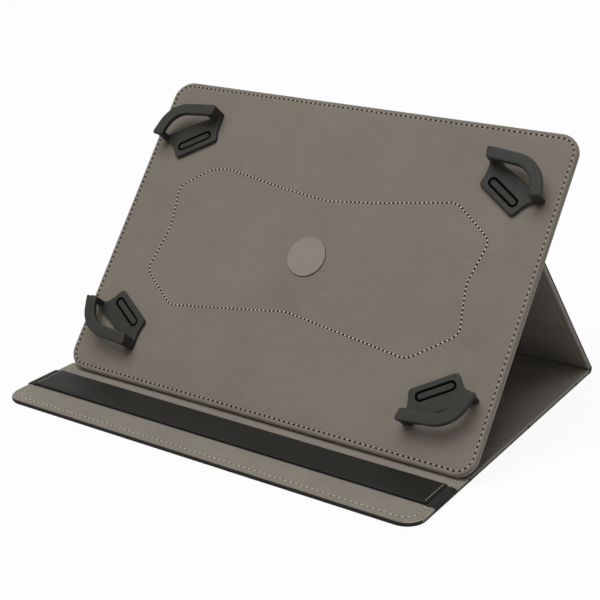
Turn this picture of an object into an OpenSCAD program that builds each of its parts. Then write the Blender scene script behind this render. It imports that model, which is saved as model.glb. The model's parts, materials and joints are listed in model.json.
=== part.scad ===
// Rotating stand folio for a 9 to 10 inch tablet, standing open in landscape.
// The cover lies open on the table, the leg leans back from the spine, and the
// padded plate with its four sprung corner clips rests its lower edge on the
// front panel. The tilt follows from the leg, the crease and the plate's seat.

/* [Cover] */
// Width of the cover, along the spine
cover_w = 263; // [240:1:280]
// Radius of the cover's outer corners
cover_corner_r = 11; // [5:1:18]
// Length of the front panel, from its free edge to the first crease
front_l = 58; // [52:1:66]
// Length of the middle panel, between the two creases
middle_l = 71; // [62:1:78]
// Length of the rear panel, from the second crease to the spine
rear_l = 67; // [60:1:74]
// Width of the spine
spine_w = 20; // [16:1:26]
// Length of the leg, from the spine to the stand crease
leg_l = 125.8; // [118:0.1:134]
// Length of the top panel above the stand crease
top_l = 65; // [55:1:66]
// Thickness of the outer leather
skin_t = 0.8; // [0.6:0.1:1.2]
// Thickness of the stiffening boards
board_t = 1.2; // [0.8:0.1:2]
// Thickness of the suede lining
lining_t = 0.6; // [0.4:0.1:1]
// Width of the leather rim that is turned up round the lining
rim_w = 1.4; // [0.8:0.1:2.5]
// Slot between two panels at a crease
crease_gap = 0.6; // [0.4:0.1:1.2]
// How far each board stops short of a crease
board_setback = 2.4; // [1:0.1:4]
// Clearance round the boards and linings in their leather tray
layer_fit = 0.1; // [0.05:0.05:0.3]

/* [Plate] */
// Width of the plate
plate_w = 264; // [245:1:275]
// Height of the plate
plate_h = 189; // [180:1:196]
// Thickness of the plate with its fabric
plate_t = 5.6; // [4.8:0.1:7]
// Corner radius of the plate
plate_corner_r = 11.5; // [8:0.5:18]
// Thickness of the suede on the plate's face
face_t = 0.9; // [0.6:0.1:1.2]
// Thickness of the fabric on the plate's back
back_t = 0.8; // [0.6:0.1:1.2]
// Distance of the plate's core board from the outline
core_inset = 2; // [1.6:0.1:3]
// Sideways offset of the plate from the middle of the cover
plate_x = 2; // [-4:0.5:4]
// Distance of the plate's lower edge in front of the first crease
seat_y = 4.8; // [2:0.1:8]
// Gap between the plate's lower edge and the lining that it stands on
seat_gap = 0.3; // [0.2:0.05:0.5]
// Height of the stand crease on the plate, as a share of the plate's height
crease_share = 0.635; // [0.6:0.005:0.66]

/* [Swivel] */
// Radius of the round tab that carries the swivel
tab_r = 38; // [32:1:44]
// Clearance round the tab in the leg's notch
tab_clear = 2.4; // [2:0.1:3]
// Radius of the swivel's base disc
base_r = 30; // [22:1:32]
// Thickness of the swivel's base disc
base_t = 1; // [0.8:0.1:1.6]
// Radius of the hub that passes through the plate
hub_r = 9; // [7:0.5:10]
// Running clearance round the hub
hub_clear = 0.15; // [0.1:0.05:0.3]
// Radius of the washer that keeps the plate on the hub
keeper_r = 14; // [12.5:0.5:18]
// Thickness of that washer
keeper_t = 1.2; // [1:0.1:1.6]
// Radius of the rivet's shank
rivet_r = 2; // [1.5:0.1:3]
// Radius of the rivet's heads
rivet_head_r = 4.2; // [3.6:0.1:6]
// Thickness of the rivet's heads
rivet_head_t = 0.6; // [0.4:0.1:0.7]
// Radius of the suede disc over the swivel
cap_r = 11.75; // [9:0.25:12]
// Gap between that disc and the suede round it
cap_gap = 0.35; // [0.2:0.05:0.6]
// How far the disc stands proud of the plate
cap_rise = 0.7; // [0.3:0.1:1.5]

/* [Corner clips] */
// Distance of a clip's slot from the plate's side
clip_side = 30.7; // [28:0.1:36]
// Distance of a clip's slot from the plate's long edge
clip_edge = 38.7; // [34:0.1:44]
// Angle of a clip's slot from the plate's long side
clip_a = 33; // [28:0.5:38]
// Gap between a clip and the plate's face
clip_gap = 0.3; // [0.2:0.05:0.5]
// Thickness of a clip's base
clip_base_t = 2.3; // [2:0.1:3]
// Width of a clip's base
clip_base_w = 28; // [27:0.5:30]
// Distance from the slot to the base's inner edge
clip_in = 6; // [5:0.1:8]
// Distance from the slot to the base's outer edge beside its dome
clip_out = 10.5; // [9.5:0.1:11]
// Radius of the base's domed outer edge
dome_r = 17; // [15:0.5:20]
// Distance from the slot to the top of that dome
dome_y = 13; // [12:0.1:14]
// Radius of the base's inner corners
clip_corner_r = 1.8; // [1:0.1:3]
// Radius of the hollow in the flank toward the plate's side
side_flare_r = 6; // [5:0.5:8]
// Radius of the hollow in the flank toward the plate's middle
middle_flare_r = 15; // [12:0.5:18]
// Distance from the slot to the tip of the arch
arch_tip = 22.7; // [21.5:0.1:25]
// Sideways offset of the tip from the slot's middle
arch_x = 2.5; // [1.5:0.1:3.5]
// Radius round the tip of the arch
arch_tip_r = 11; // [9:0.5:13]
// Slope of the arm toward the plate's side
side_slope = 29.5; // [27:0.5:32]
// Slope of the arm toward the plate's middle
middle_slope = 25.5; // [23:0.5:28]
// Length of the straight arm toward the plate's side
side_arm_l = 15.9; // [15:0.1:17]
// Length of the straight arm toward the plate's middle
middle_arm_l = 20.8; // [20:0.1:22]
// Radius of the outer corners at the arms' ends
arm_end_r = 2.5; // [1:0.1:3]
// Width of the arch's band
arch_w = 7; // [6.5:0.1:7.5]
// Thickness of the arch's band
arch_t = 3; // [2.4:0.1:4]
// Height of the throat that takes the tablet, from the base to the arch
throat_h = 6.6; // [6:0.1:9]
// Thickness of the posts that carry the arch
post_w = 4.5; // [3.5:0.1:6]
// How far the base's ears reach in past the posts
ear_ledge = 1.5; // [1:0.1:2]
// Length of the recess that holds the bar
recess_l = 22.4; // [20:0.2:23]
// Width of the recess that holds the bar
recess_w = 5.4; // [5:0.1:5.6]
// Gap between the bar and the recess
bar_gap = 0.9; // [0.5:0.1:1]
// Thickness of the bar
bar_t = 1.1; // [0.8:0.1:1.4]
// Width of the elastic band
band_w = 14; // [10:0.5:15]
// Thickness of the elastic band
band_t = 0.8; // [0.6:0.1:1.2]
// Clearance round the elastic band in its slots and channel
band_clear = 0.3; // [0.2:0.05:0.5]
// Distance from the slot back to where the band is sewn down
anchor_y = 24.4; // [18:0.2:28]

/* [Strap] */
// Width of the strap
strap_w = 22; // [16:1:26]
// Thickness of the strap
strap_t = 1.6; // [1.2:0.1:2.4]
// Distance of the strap's leather from the cover's sides
strap_end = 8; // [6:0.5:20]
// Distance from the cover's free edge to the strap's middle
strap_y = 31; // [26:0.5:34]
// Gap between the strap and the lining
strap_gap = 0.3; // [0.2:0.05:0.5]
// Thickness of the elastic ends
elastic_t = 0.8; // [0.6:0.1:1.2]
// How far the elastic ends reach in under the cover
elastic_l = 14; // [10:1:24]
// Clearance round the elastic ends
elastic_fit = 0.1; // [0.05:0.05:0.3]

/* [Hidden] */
$fn = 64;

LEATHER = "#2b2a26";
SUEDE = "#7d746a";
BOARD = "#9a9184";
RUBBER = "#3d3d38";
WOVEN = "#4a4a45";
STEEL = "#b8bcc0";

cut = 1;                       // how far a cut runs past a face
ledge = 0.1;                   // keeps the posts' sides clear of the faces above and below

// Layers of the cover, from the leather up
cover_t = skin_t + board_t + lining_t;
lining_z = skin_t + board_t;

// Creases along the open cover, which is centred on the origin
cover_l = front_l + middle_l + rear_l + spine_w;
free_y = -cover_l / 2;
crease_1_y = free_y + front_l;
crease_2_y = crease_1_y + middle_l;
spine_y = crease_2_y + rear_l;
fold_y = spine_y + spine_w;
half_gap = crease_gap / 2;
strap_l = cover_w - 2 * strap_end;

// Stand triangle: the spine fold, the plate's lower edge and the stand crease
edge_r = plate_t / 2;
crease_v = crease_share * plate_h;
edge_y = crease_1_y - seat_y;
edge_z = cover_t + seat_gap + edge_r;
back_off = edge_r + base_t + cover_t;          // crease axis behind the plate's middle
side_leg = norm([leg_l, cover_t]);
side_plate = norm([crease_v, back_off]);
side_base = norm([fold_y - edge_y, cover_t - edge_z]);
base_a = atan2(cover_t - edge_z, fold_y - edge_y);
edge_a = acos((side_plate^2 + side_base^2 - side_leg^2) / (2 * side_plate * side_base));
fold_a = acos((side_leg^2 + side_base^2 - side_plate^2) / (2 * side_leg * side_base));
tilt = base_a + edge_a + atan2(back_off, crease_v);
leg_a = 180 + base_a - fold_a + atan2(cover_t, leg_l);
crease_y = fold_y + leg_l * cos(leg_a) + cover_t * sin(leg_a);
crease_z = cover_t + leg_l * sin(leg_a) - cover_t * cos(leg_a);

// Plate layers, from its back
core_z = back_t;
core_t = plate_t - face_t - back_t;
swivel_y = plate_h / 2 - edge_r - crease_v;    // swivel below the stand crease

// Clip heights, from the plate's face
clip_top = clip_gap + clip_base_t;
arch_z = clip_top + throat_h;
recess_z = clip_top - bar_t - ledge;
clip_x = plate_w / 2 - clip_side;
clip_v = plate_h / 2 - clip_edge;
channel_t = band_t + band_clear;

// The arch's two arms, toward the plate's side and toward its middle
arm_slopes = [side_slope, middle_slope];
arm_ends = [side_arm_l, middle_arm_l];
flare_rs = [side_flare_r, middle_flare_r];
tip_y = arch_tip - arch_tip_r;
arc_step = 6;                  // degrees between the points of a rounded outline

// ---- Frames ----

// The leg's frame: y runs up the leg, z from the leather to the lining
module at_leg() {
    translate([0, fold_y, cover_t]) rotate([leg_a, 0, 0]) translate([0, 0, -cover_t]) children();
}

// The top panel's frame, with the stand crease on its x axis
module at_top() {
    translate([0, crease_y, crease_z]) rotate([tilt, 0, 0]) children();
}

// The plate's frame: its centre is on the z axis and its back is at z = 0
module at_plate() {
    translate([plate_x, edge_y, edge_z]) rotate([tilt, 0, 0])
        translate([0, plate_h / 2 - edge_r, -edge_r]) children();
}

// A clip's frame on the plate's face: x along the slot, y outward
module at_clip(right, up) {
    at_plate() clip_place(right, up) children();
}

module clip_place(right, up) {
    mirror([right ? 0 : 1, 0, 0]) mirror([0, up ? 0 : 1, 0])
        translate([clip_x, clip_v, plate_t]) rotate([0, 0, -clip_a]) children();
}

// ---- Shared outlines ----

// Strip of the cover from y0 to y1, with corner radii r0 and r1 at its ends
module strip(w, y0, y1, r0 = 0, r1 = 0) {
    translate([-w / 2, y0 + r0]) square([w, y1 - r1 - y0 - r0]);
    for (end = [[y0, r0, 1], [y1, r1, -1]]) {
        if (end[1] > 0) {
            translate([0, end[0] + end[2] * end[1]]) square([w - 2 * end[1], 2 * end[1]], center = true);
            for (side = [-1, 1]) {
                translate([side * (w / 2 - end[1]), end[0] + end[2] * end[1]]) circle(end[1]);
            }
        }
    }
}

module rounded(w, h, r) {
    square([w - 2 * r, h], center = true);
    square([w, h - 2 * r], center = true);
    for (x = [-1, 1], y = [-1, 1]) translate([x * (w / 2 - r), y * (h / 2 - r)]) circle(r);
}

module oblong(l, w) {
    square([l - w, w], center = true);
    for (x = [-1, 1]) translate([x * (l - w) / 2, 0]) circle(d = w);
}

// Ring sector round an axis along X, from angle a over the angle sweep
module fold_shell(r_in, r_out, w, a, sweep) {
    reach = 3 * r_out;
    steps = 4;
    rotate([90, 0, 90]) linear_extrude(w, center = true) intersection() {
        difference() {
            circle(r_out);
            circle(r_in);
        }
        polygon([[0, 0], for (i = [0 : steps]) reach * [cos(a + sweep * i / steps), sin(a + sweep * i / steps)]]);
    }
}

// ---- Cover panels ----

// Leather tray: a floor with a rim along the outer edges, open at the creases
module tray(y0, y1, r0 = 0, r1 = 0) {
    in0 = r0 > 0 ? y0 + rim_w : y0 - cut;
    in1 = r1 > 0 ? y1 - rim_w : y1 + cut;
    difference() {
        linear_extrude(cover_t) strip(cover_w, y0, y1, r0, r1);
        translate([0, 0, skin_t]) linear_extrude(cover_t)
            strip(cover_w - 2 * rim_w, in0, in1, max(r0 - rim_w, 0), max(r1 - rim_w, 0));
    }
}

// Flat layer inside the tray, set back by the given distance at the creases
module layer(z, t, y0, y1, back, r0 = 0, r1 = 0) {
    inset = rim_w + layer_fit;
    translate([0, 0, z]) linear_extrude(t)
        strip(cover_w - 2 * inset, r0 > 0 ? y0 + inset : y0 + back, r1 > 0 ? y1 - inset : y1 - back,
            max(r0 - inset, 0), max(r1 - inset, 0));
}

// Space that the strap's elastic ends need under the front panel
module elastic_recess() {
    for (side = [-1, 1]) {
        translate([side * (cover_w / 2 - elastic_l / 2 + cut / 2), free_y + strap_y, 0])
            cube([elastic_l + cut + 2 * elastic_fit, strap_w + 2 * elastic_fit,
                2 * (elastic_t + elastic_fit)], center = true);
    }
}

module front_skin() {
    color(LEATHER) difference() {
        tray(free_y, crease_1_y - half_gap, cover_corner_r, 0);
        elastic_recess();
    }
}

module front_board() {
    color(BOARD) difference() {
        layer(skin_t, board_t, free_y, crease_1_y, board_setback, cover_corner_r, 0);
        elastic_recess();
    }
}

module front_lining() {
    color(SUEDE) layer(lining_z, lining_t, free_y, crease_1_y, half_gap, cover_corner_r, 0);
}

module middle_skin() {
    color(LEATHER) tray(crease_1_y + half_gap, crease_2_y - half_gap);
}

module middle_board() {
    color(BOARD) layer(skin_t, board_t, crease_1_y, crease_2_y, board_setback);
}

module middle_lining() {
    color(SUEDE) layer(lining_z, lining_t, crease_1_y, crease_2_y, half_gap);
}

module rear_skin() {
    color(LEATHER) tray(crease_2_y + half_gap, spine_y - half_gap);
}

module rear_board() {
    color(BOARD) layer(skin_t, board_t, crease_2_y, spine_y, board_setback);
}

module rear_lining() {
    color(SUEDE) layer(lining_z, lining_t, crease_2_y, spine_y, half_gap);
}

module spine_skin() {
    color(LEATHER) tray(spine_y + half_gap, fold_y);
}

module spine_board() {
    color(BOARD) layer(skin_t, board_t, spine_y, fold_y, board_setback);
}

module spine_lining() {
    color(SUEDE) layer(lining_z, lining_t, spine_y, fold_y, half_gap);
}

// The leather that bends round the outside of the fold between spine and leg
module spine_fold_leather() {
    color(LEATHER) translate([0, fold_y, cover_t])
        fold_shell(cover_t - skin_t, cover_t, cover_w, -90, leg_a);
}

// Round notch in the leg that leaves room for the swivel's tab
module tab_notch(clear) {
    translate([plate_x, leg_l + swivel_y, -cut]) cylinder(h = cover_t + 2 * cut, r = tab_r + tab_clear + clear);
}

module leg_skin() {
    color(LEATHER) at_leg() difference() {
        union() {
            tray(half_gap, leg_l - half_gap);
            intersection() {
                linear_extrude(cover_t) strip(cover_w, half_gap, leg_l - half_gap);
                tab_notch(rim_w);
            }
        }
        tab_notch(0);
    }
}

module leg_board() {
    color(BOARD) at_leg() difference() {
        layer(skin_t, board_t, 0, leg_l, board_setback);
        tab_notch(rim_w + layer_fit);
    }
}

module leg_lining() {
    color(SUEDE) at_leg() difference() {
        layer(lining_z, lining_t, 0, leg_l, half_gap);
        tab_notch(rim_w + layer_fit);
    }
}

// The lining that spans the inside of the stand crease on both sides of the tab
module crease_fold_lining() {
    neck = sqrt((tab_r + tab_clear)^2 - swivel_y^2) + rim_w;
    color(SUEDE) translate([0, crease_y, crease_z]) difference() {
        fold_shell(cover_t - lining_t, cover_t, cover_w - 2 * (rim_w + layer_fit), 90 + tilt, leg_a - tilt);
        translate([plate_x, 0, 0]) cube([2 * neck, 4 * cover_t, 4 * cover_t], center = true);
    }
}

module top_outline(inset) {
    start = half_gap;
    strip(cover_w - 2 * inset, start, top_l - inset, 0, max(cover_corner_r - inset, 0));
    translate([plate_x, swivel_y]) circle(tab_r - inset);
}

module top_skin() {
    color(LEATHER) at_top() difference() {
        linear_extrude(cover_t) top_outline(0);
        translate([0, 0, skin_t]) linear_extrude(cover_t) {
            top_outline(rim_w);
            strip(cover_w - 2 * rim_w, half_gap - cut, top_l / 2);
        }
        rivet_hole();
    }
}

module top_board() {
    color(BOARD) at_top() difference() {
        translate([0, 0, skin_t]) linear_extrude(board_t) intersection() {
            top_outline(rim_w + layer_fit);
            union() {
                translate([-cover_w / 2, board_setback]) square([cover_w, top_l]);
                translate([plate_x, swivel_y]) circle(tab_r);
            }
        }
        rivet_hole();
    }
}

module top_lining() {
    color(SUEDE) at_top() difference() {
        translate([0, 0, lining_z]) linear_extrude(lining_t) top_outline(rim_w + layer_fit);
        rivet_hole();
    }
}

// ---- Swivel ----

module rivet_hole() {
    translate([plate_x, swivel_y, -cut]) cylinder(h = cover_t + 2 * cut, r = rivet_r);
    translate([plate_x, swivel_y, -cut]) cylinder(h = cut + rivet_head_t, r = rivet_head_r);
}

module swivel_base() {
    color(RUBBER) at_plate() difference() {
        union() {
            translate([0, 0, -base_t]) cylinder(h = base_t, r = base_r);
            cylinder(h = core_z + core_t - keeper_t, r = hub_r);
        }
        translate([0, 0, -base_t - cut]) cylinder(h = plate_t + base_t + cut, r = rivet_r);
    }
}

module swivel_keeper() {
    color(STEEL) at_plate() translate([0, 0, core_z + core_t - keeper_t]) difference() {
        cylinder(h = keeper_t, r = keeper_r);
        translate([0, 0, -cut]) cylinder(h = keeper_t + 2 * cut, r = rivet_r);
        translate([0, 0, keeper_t - rivet_head_t]) cylinder(h = keeper_t, r = rivet_head_r);
    }
}

module swivel_rivet() {
    low = -base_t - cover_t;
    high = core_z + core_t;
    color(STEEL) at_plate() {
        translate([0, 0, low]) cylinder(h = high - low, r = rivet_r);
        translate([0, 0, low]) cylinder(h = rivet_head_t, r = rivet_head_r);
        translate([0, 0, high - rivet_head_t]) cylinder(h = rivet_head_t, r = rivet_head_r);
    }
}

module swivel_cap() {
    color(SUEDE) at_plate() translate([0, 0, plate_t - face_t]) cylinder(h = face_t + cap_rise, r = cap_r);
}

// ---- Plate ----

// Slab with fully rounded edges: a flat middle, four half rounds and four corners
module round_edged_slab(w, h, t, corner_r) {
    r = t / 2;
    flat_w = w - 2 * r;
    flat_h = h - 2 * r;
    in_r = corner_r - r;
    linear_extrude(t) rounded(flat_w, flat_h, in_r);
    for (side = [0, 1]) {
        rotate([0, 0, side * 180]) {
            translate([flat_w / 2, 0, r]) rotate([90, 0, 0])
                linear_extrude(flat_h - 2 * in_r, center = true) half_disc(r);
            translate([0, flat_h / 2, r]) rotate([90, 0, 90])
                linear_extrude(flat_w - 2 * in_r, center = true) half_disc(r);
        }
    }
    for (x = [0, 1], y = [0, 1]) {
        mirror([x, 0, 0]) mirror([0, y, 0])
            translate([flat_w / 2 - in_r, flat_h / 2 - in_r, r])
                rotate_extrude(angle = 90) translate([in_r, 0]) half_disc(r);
    }
}

module half_disc(r) {
    intersection() {
        circle(r);
        translate([0, -r]) square([r, 2 * r]);
    }
}

// Slits in the suede and channels in the board for the four elastic bands
module band_cuts(z, t, from_y, to_y) {
    for (right = [false, true], up = [false, true]) clip_place(right, up) {
        translate([-band_w / 2 - band_clear, from_y, z]) cube([band_w + 2 * band_clear, to_y - from_y, t]);
    }
}

module plate_face() {
    half = band_t / 2 + band_clear;
    color(SUEDE) at_plate() difference() {
        round_edged_slab(plate_w, plate_h, plate_t, plate_corner_r);
        translate([0, 0, -cut]) linear_extrude(plate_t - face_t + cut)
            rounded(plate_w - 2 * core_inset, plate_h - 2 * core_inset, plate_corner_r - core_inset);
        cylinder(h = plate_t + cut, r = cap_r + cap_gap);
        band_cuts(-face_t - cut, face_t + 2 * cut, -half, half);
    }
}

module plate_core() {
    inset = core_inset + layer_fit;
    color(BOARD) at_plate() difference() {
        translate([0, 0, core_z]) linear_extrude(core_t)
            rounded(plate_w - 2 * inset, plate_h - 2 * inset, plate_corner_r - inset);
        cylinder(h = plate_t, r = hub_r + hub_clear);
        translate([0, 0, core_z + core_t - keeper_t]) cylinder(h = keeper_t + cut, r = keeper_r + hub_clear);
        band_cuts(-face_t - channel_t, channel_t + cut, -anchor_y - band_clear, band_t / 2 + band_clear);
    }
}

module plate_back() {
    inset = core_inset + layer_fit;
    color(SUEDE) at_plate() difference() {
        linear_extrude(back_t) rounded(plate_w - 2 * inset, plate_h - 2 * inset, plate_corner_r - inset);
        translate([0, 0, -cut]) cylinder(h = plate_t, r = hub_r + hub_clear);
    }
}

// ---- Corner clips ----

// Points of an arc from angle a0 to a1
function arc(centre, r, a0, a1) = let (steps = ceil(abs(a1 - a0) / arc_step))
    [for (i = [0 : steps]) let (a = a0 + (a1 - a0) * i / steps) centre + r * [cos(a), sin(a)]];

function flip(side) = side == 0 ? 1 : -1;
function mirrored(side, points) = [for (p = points) [flip(side) * p[0], p[1]]];

// Points in the frame of an arm: x along it from the tip's centre, y outward
function on_arm(side, points) = let (a = arm_slopes[side]) [for (p = points)
    [arch_x + flip(side) * (p[0] * cos(a) + p[1] * sin(a)), tip_y - p[0] * sin(a) + p[1] * cos(a)]];

// The end of an arm from its inner to its outer corner, taken in by the given distance
function arm_end(side, inset) = let (e = arm_ends[side])
    on_arm(side, concat([[e - inset, arch_tip_r - arch_w + inset]],
        arc([e - arm_end_r, arch_tip_r - arm_end_r], arm_end_r - inset, 0, 90)));

// A line across an arm at the given distance from its end, from the outer side in
function across_arm(side, back, inset) = let (x = arm_ends[side] - back)
    on_arm(side, [[x, arch_tip_r - inset], [x, arch_tip_r - arch_w + inset]]);

// One flank of the base, from its inner corner to the end of the arm above it
function flank(side) = let (
        half = clip_base_w / 2,
        tip = mirrored(side, [arm_end(side, 0)[0]])[0],
        r = flare_rs[side],
        centre = [half + r, tip[1] - sqrt(r * r - (half + r - tip[0])^2)],
        corner = [half - clip_corner_r, clip_corner_r - clip_in])
    mirrored(side, concat(arc(corner, clip_corner_r, -90, 0),
        arc(centre, r, 180, atan2(tip[1] - centre[1], tip[0] - centre[0]))));

// Half of the base's outline, from its inner edge round one ear
function base_side(side) = concat(flank(side), arm_end(side, 0), across_arm(side, post_w + ear_ledge, 0));

function reversed(points) = [for (i = [len(points) - 1 : -1 : 0]) points[i]];

// The base in plan: a plate with a domed outer edge and an ear under each post
module clip_base() {
    dome = asin((clip_out - dome_y + dome_r) / dome_r);
    polygon(concat(base_side(0), arc([0, dome_y - dome_r], dome_r, dome, 180 - dome), reversed(base_side(1))));
}

// A post in plan
module post(side) {
    polygon(concat(arm_end(side, ledge), across_arm(side, post_w, ledge)));
}

// The arch in plan: a round tip between the two arms
module arch_band() {
    centre = [arch_x, tip_y];
    polygon(concat(arm_end(0, 0), arc(centre, arch_tip_r, 90 - side_slope, 90 + middle_slope),
        reversed(arm_end(1, 0)), arc(centre, arch_tip_r - arch_w, 90 + middle_slope, 90 - side_slope)));
}

module clip(right, up) {
    color(RUBBER) at_clip(right, up) difference() {
        union() {
            translate([0, 0, clip_gap]) linear_extrude(clip_base_t) clip_base();
            translate([0, 0, clip_top - cut]) linear_extrude(throat_h + 2 * cut)
                for (side = [0, 1]) post(side);
            translate([0, 0, arch_z]) linear_extrude(arch_t) arch_band();
        }
        translate([0, 0, recess_z]) linear_extrude(bar_t + cut) oblong(recess_l, recess_w);
        linear_extrude(clip_top) square([band_w + 2 * band_clear, band_t + 2 * band_clear], center = true);
    }
}

module bar(right, up) {
    color(WOVEN) at_clip(right, up) translate([0, 0, recess_z]) linear_extrude(bar_t)
        oblong(recess_l - 2 * bar_gap, recess_w - 2 * bar_gap);
}

// The band runs from its seam in the channel to the slit and up to the bar
module band(right, up) {
    z = -face_t - channel_t + band_clear / 2;
    color(WOVEN) at_clip(right, up) {
        translate([-band_w / 2, -anchor_y, z]) cube([band_w, anchor_y + band_t / 2, band_t]);
        translate([-band_w / 2, -band_t / 2, z]) cube([band_w, band_t, recess_z - z]);
    }
}

module clip_top_left() { clip(false, true); }
module clip_top_right() { clip(true, true); }
module clip_bottom_left() { clip(false, false); }
module clip_bottom_right() { clip(true, false); }
module bar_top_left() { bar(false, true); }
module bar_top_right() { bar(true, true); }
module bar_bottom_left() { bar(false, false); }
module bar_bottom_right() { bar(true, false); }
module band_top_left() { band(false, true); }
module band_top_right() { band(true, true); }
module band_bottom_left() { band(false, false); }
module band_bottom_right() { band(true, false); }

// ---- Strap ----

module strap() {
    color(LEATHER) translate([0, free_y + strap_y, cover_t + strap_gap])
        linear_extrude(strap_t) rounded(strap_l, strap_w, 1);
}

// Elastic end: from the strap, over the cover's edge and in under the leather
module strap_elastic(side) {
    y = free_y + strap_y - strap_w / 2;
    outer = cover_w / 2 + elastic_fit + elastic_t;
    top = cover_t + strap_gap + elastic_t;
    color(WOVEN) mirror([side < 0 ? 1 : 0, 0, 0]) {
        translate([strap_l / 2 + elastic_fit, y, cover_t + strap_gap])
            cube([outer - strap_l / 2 - elastic_fit, strap_w, elastic_t]);
        translate([outer - elastic_t, y, 0]) cube([elastic_t, strap_w, top]);
        translate([cover_w / 2 - elastic_l, y, 0]) cube([outer - cover_w / 2 + elastic_l, strap_w, elastic_t]);
    }
}

module strap_elastic_left() { strap_elastic(-1); }
module strap_elastic_right() { strap_elastic(1); }

front_skin();
front_board();
front_lining();
middle_skin();
middle_board();
middle_lining();
rear_skin();
rear_board();
rear_lining();
spine_skin();
spine_board();
spine_lining();
spine_fold_leather();
leg_skin();
leg_board();
leg_lining();
crease_fold_lining();
top_skin();
top_board();
top_lining();
swivel_base();
swivel_keeper();
swivel_rivet();
swivel_cap();
plate_face();
plate_core();
plate_back();
clip_top_left();
clip_top_right();
clip_bottom_left();
clip_bottom_right();
bar_top_left();
bar_top_right();
bar_bottom_left();
bar_bottom_right();
band_top_left();
band_top_right();
band_bottom_left();
band_bottom_right();
strap();
strap_elastic_left();
strap_elastic_right();
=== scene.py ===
"""Dressed scene of a rotating tablet folio that stands open in landscape.

The classes follow the object: the cover's leather and lining, the leg and the
top panel, the padded plate with its swivel, the four sprung corner clips and
the closing strap. Sizes are in metres and repeat those of the part's source,
except where a class says otherwise.
"""

from __future__ import annotations

import json
import logging
import math
from collections.abc import Callable, Iterable, Mapping, Sequence
from dataclasses import dataclass, field
from enum import Enum
from typing import Any

import bmesh
import bpy
from mathutils import Euler, Matrix, Vector, noise

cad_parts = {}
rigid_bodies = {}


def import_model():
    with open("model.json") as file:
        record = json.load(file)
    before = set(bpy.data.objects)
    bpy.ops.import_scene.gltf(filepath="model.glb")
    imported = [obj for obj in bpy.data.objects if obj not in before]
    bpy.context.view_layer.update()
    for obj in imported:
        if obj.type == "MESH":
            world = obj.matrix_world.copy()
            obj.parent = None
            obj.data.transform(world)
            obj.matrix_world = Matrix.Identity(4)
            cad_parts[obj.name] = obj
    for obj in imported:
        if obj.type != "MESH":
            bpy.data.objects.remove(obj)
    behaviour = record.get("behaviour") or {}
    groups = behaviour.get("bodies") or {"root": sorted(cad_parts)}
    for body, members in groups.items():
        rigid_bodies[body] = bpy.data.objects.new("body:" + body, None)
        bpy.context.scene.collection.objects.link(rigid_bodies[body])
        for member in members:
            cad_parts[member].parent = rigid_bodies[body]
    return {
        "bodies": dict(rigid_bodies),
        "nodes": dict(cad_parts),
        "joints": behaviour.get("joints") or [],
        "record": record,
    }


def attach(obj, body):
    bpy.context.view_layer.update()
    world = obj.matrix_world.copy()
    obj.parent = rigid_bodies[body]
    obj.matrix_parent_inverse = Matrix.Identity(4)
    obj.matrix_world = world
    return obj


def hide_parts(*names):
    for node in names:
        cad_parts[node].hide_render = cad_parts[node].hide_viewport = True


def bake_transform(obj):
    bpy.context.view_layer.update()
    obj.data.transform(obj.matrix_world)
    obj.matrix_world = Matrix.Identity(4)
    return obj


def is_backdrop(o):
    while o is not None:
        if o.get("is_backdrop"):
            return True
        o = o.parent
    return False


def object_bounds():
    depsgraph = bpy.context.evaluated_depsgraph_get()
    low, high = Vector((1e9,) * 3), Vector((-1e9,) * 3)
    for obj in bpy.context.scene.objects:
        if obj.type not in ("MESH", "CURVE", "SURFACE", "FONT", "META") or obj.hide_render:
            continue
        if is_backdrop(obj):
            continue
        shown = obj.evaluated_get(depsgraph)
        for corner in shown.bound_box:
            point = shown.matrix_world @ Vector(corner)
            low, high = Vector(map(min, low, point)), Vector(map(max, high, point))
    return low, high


MM = 0.001
# Distance under which two places count as the same
TOUCH = 1e-7
# Area in square metres that no single face reaches, so that all are shaded smooth
ALL_SMOOTH = 1.0
# Area under which the narrow faces of a fold are shaded smooth
FOLD_SMOOTH = 1e-2
# The open cover lies in the part's own frame
IN_PLACE = Matrix.Identity(4)
LOG = logging.getLogger("folio")

Number = float | int
Colour = tuple[float, float, float]
Points = tuple[tuple[float, float], ...]
Path = list[Vector]


class Body(Enum):
    """Moving bodies of the part that pieces ride on."""

    FRONT = "front_panel"
    MIDDLE = "middle_panel"
    REAR = "rear_panel"
    SPINE = "spine"
    LEG = "leg"
    PLATE = "plate"
    STRAP = "closing_strap"
    TOP_LEFT = "corner_top_left"
    TOP_RIGHT = "corner_top_right"
    BOTTOM_LEFT = "corner_bottom_left"
    BOTTOM_RIGHT = "corner_bottom_right"


class Slot(Enum):
    """Material slots of the part."""

    LEATHER = "leather"
    SUEDE = "suede"
    RUBBER = "clip_rubber"
    WEBBING = "webbing"
    ELASTIC = "elastic"


class Corner(Enum):
    """The plate's corners, as (sideways sign, upward sign)."""

    TOP_LEFT = (-1, 1)
    TOP_RIGHT = (1, 1)
    BOTTOM_LEFT = (-1, -1)
    BOTTOM_RIGHT = (1, -1)

    @property
    def tag(self) -> str:
        """Name of the corner as the part's nodes have it."""
        return self.name.lower()

    @property
    def body(self) -> Body:
        """Body of the clip at this corner."""
        return Body[self.name]


# ---- Sizes and frames ----


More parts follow.
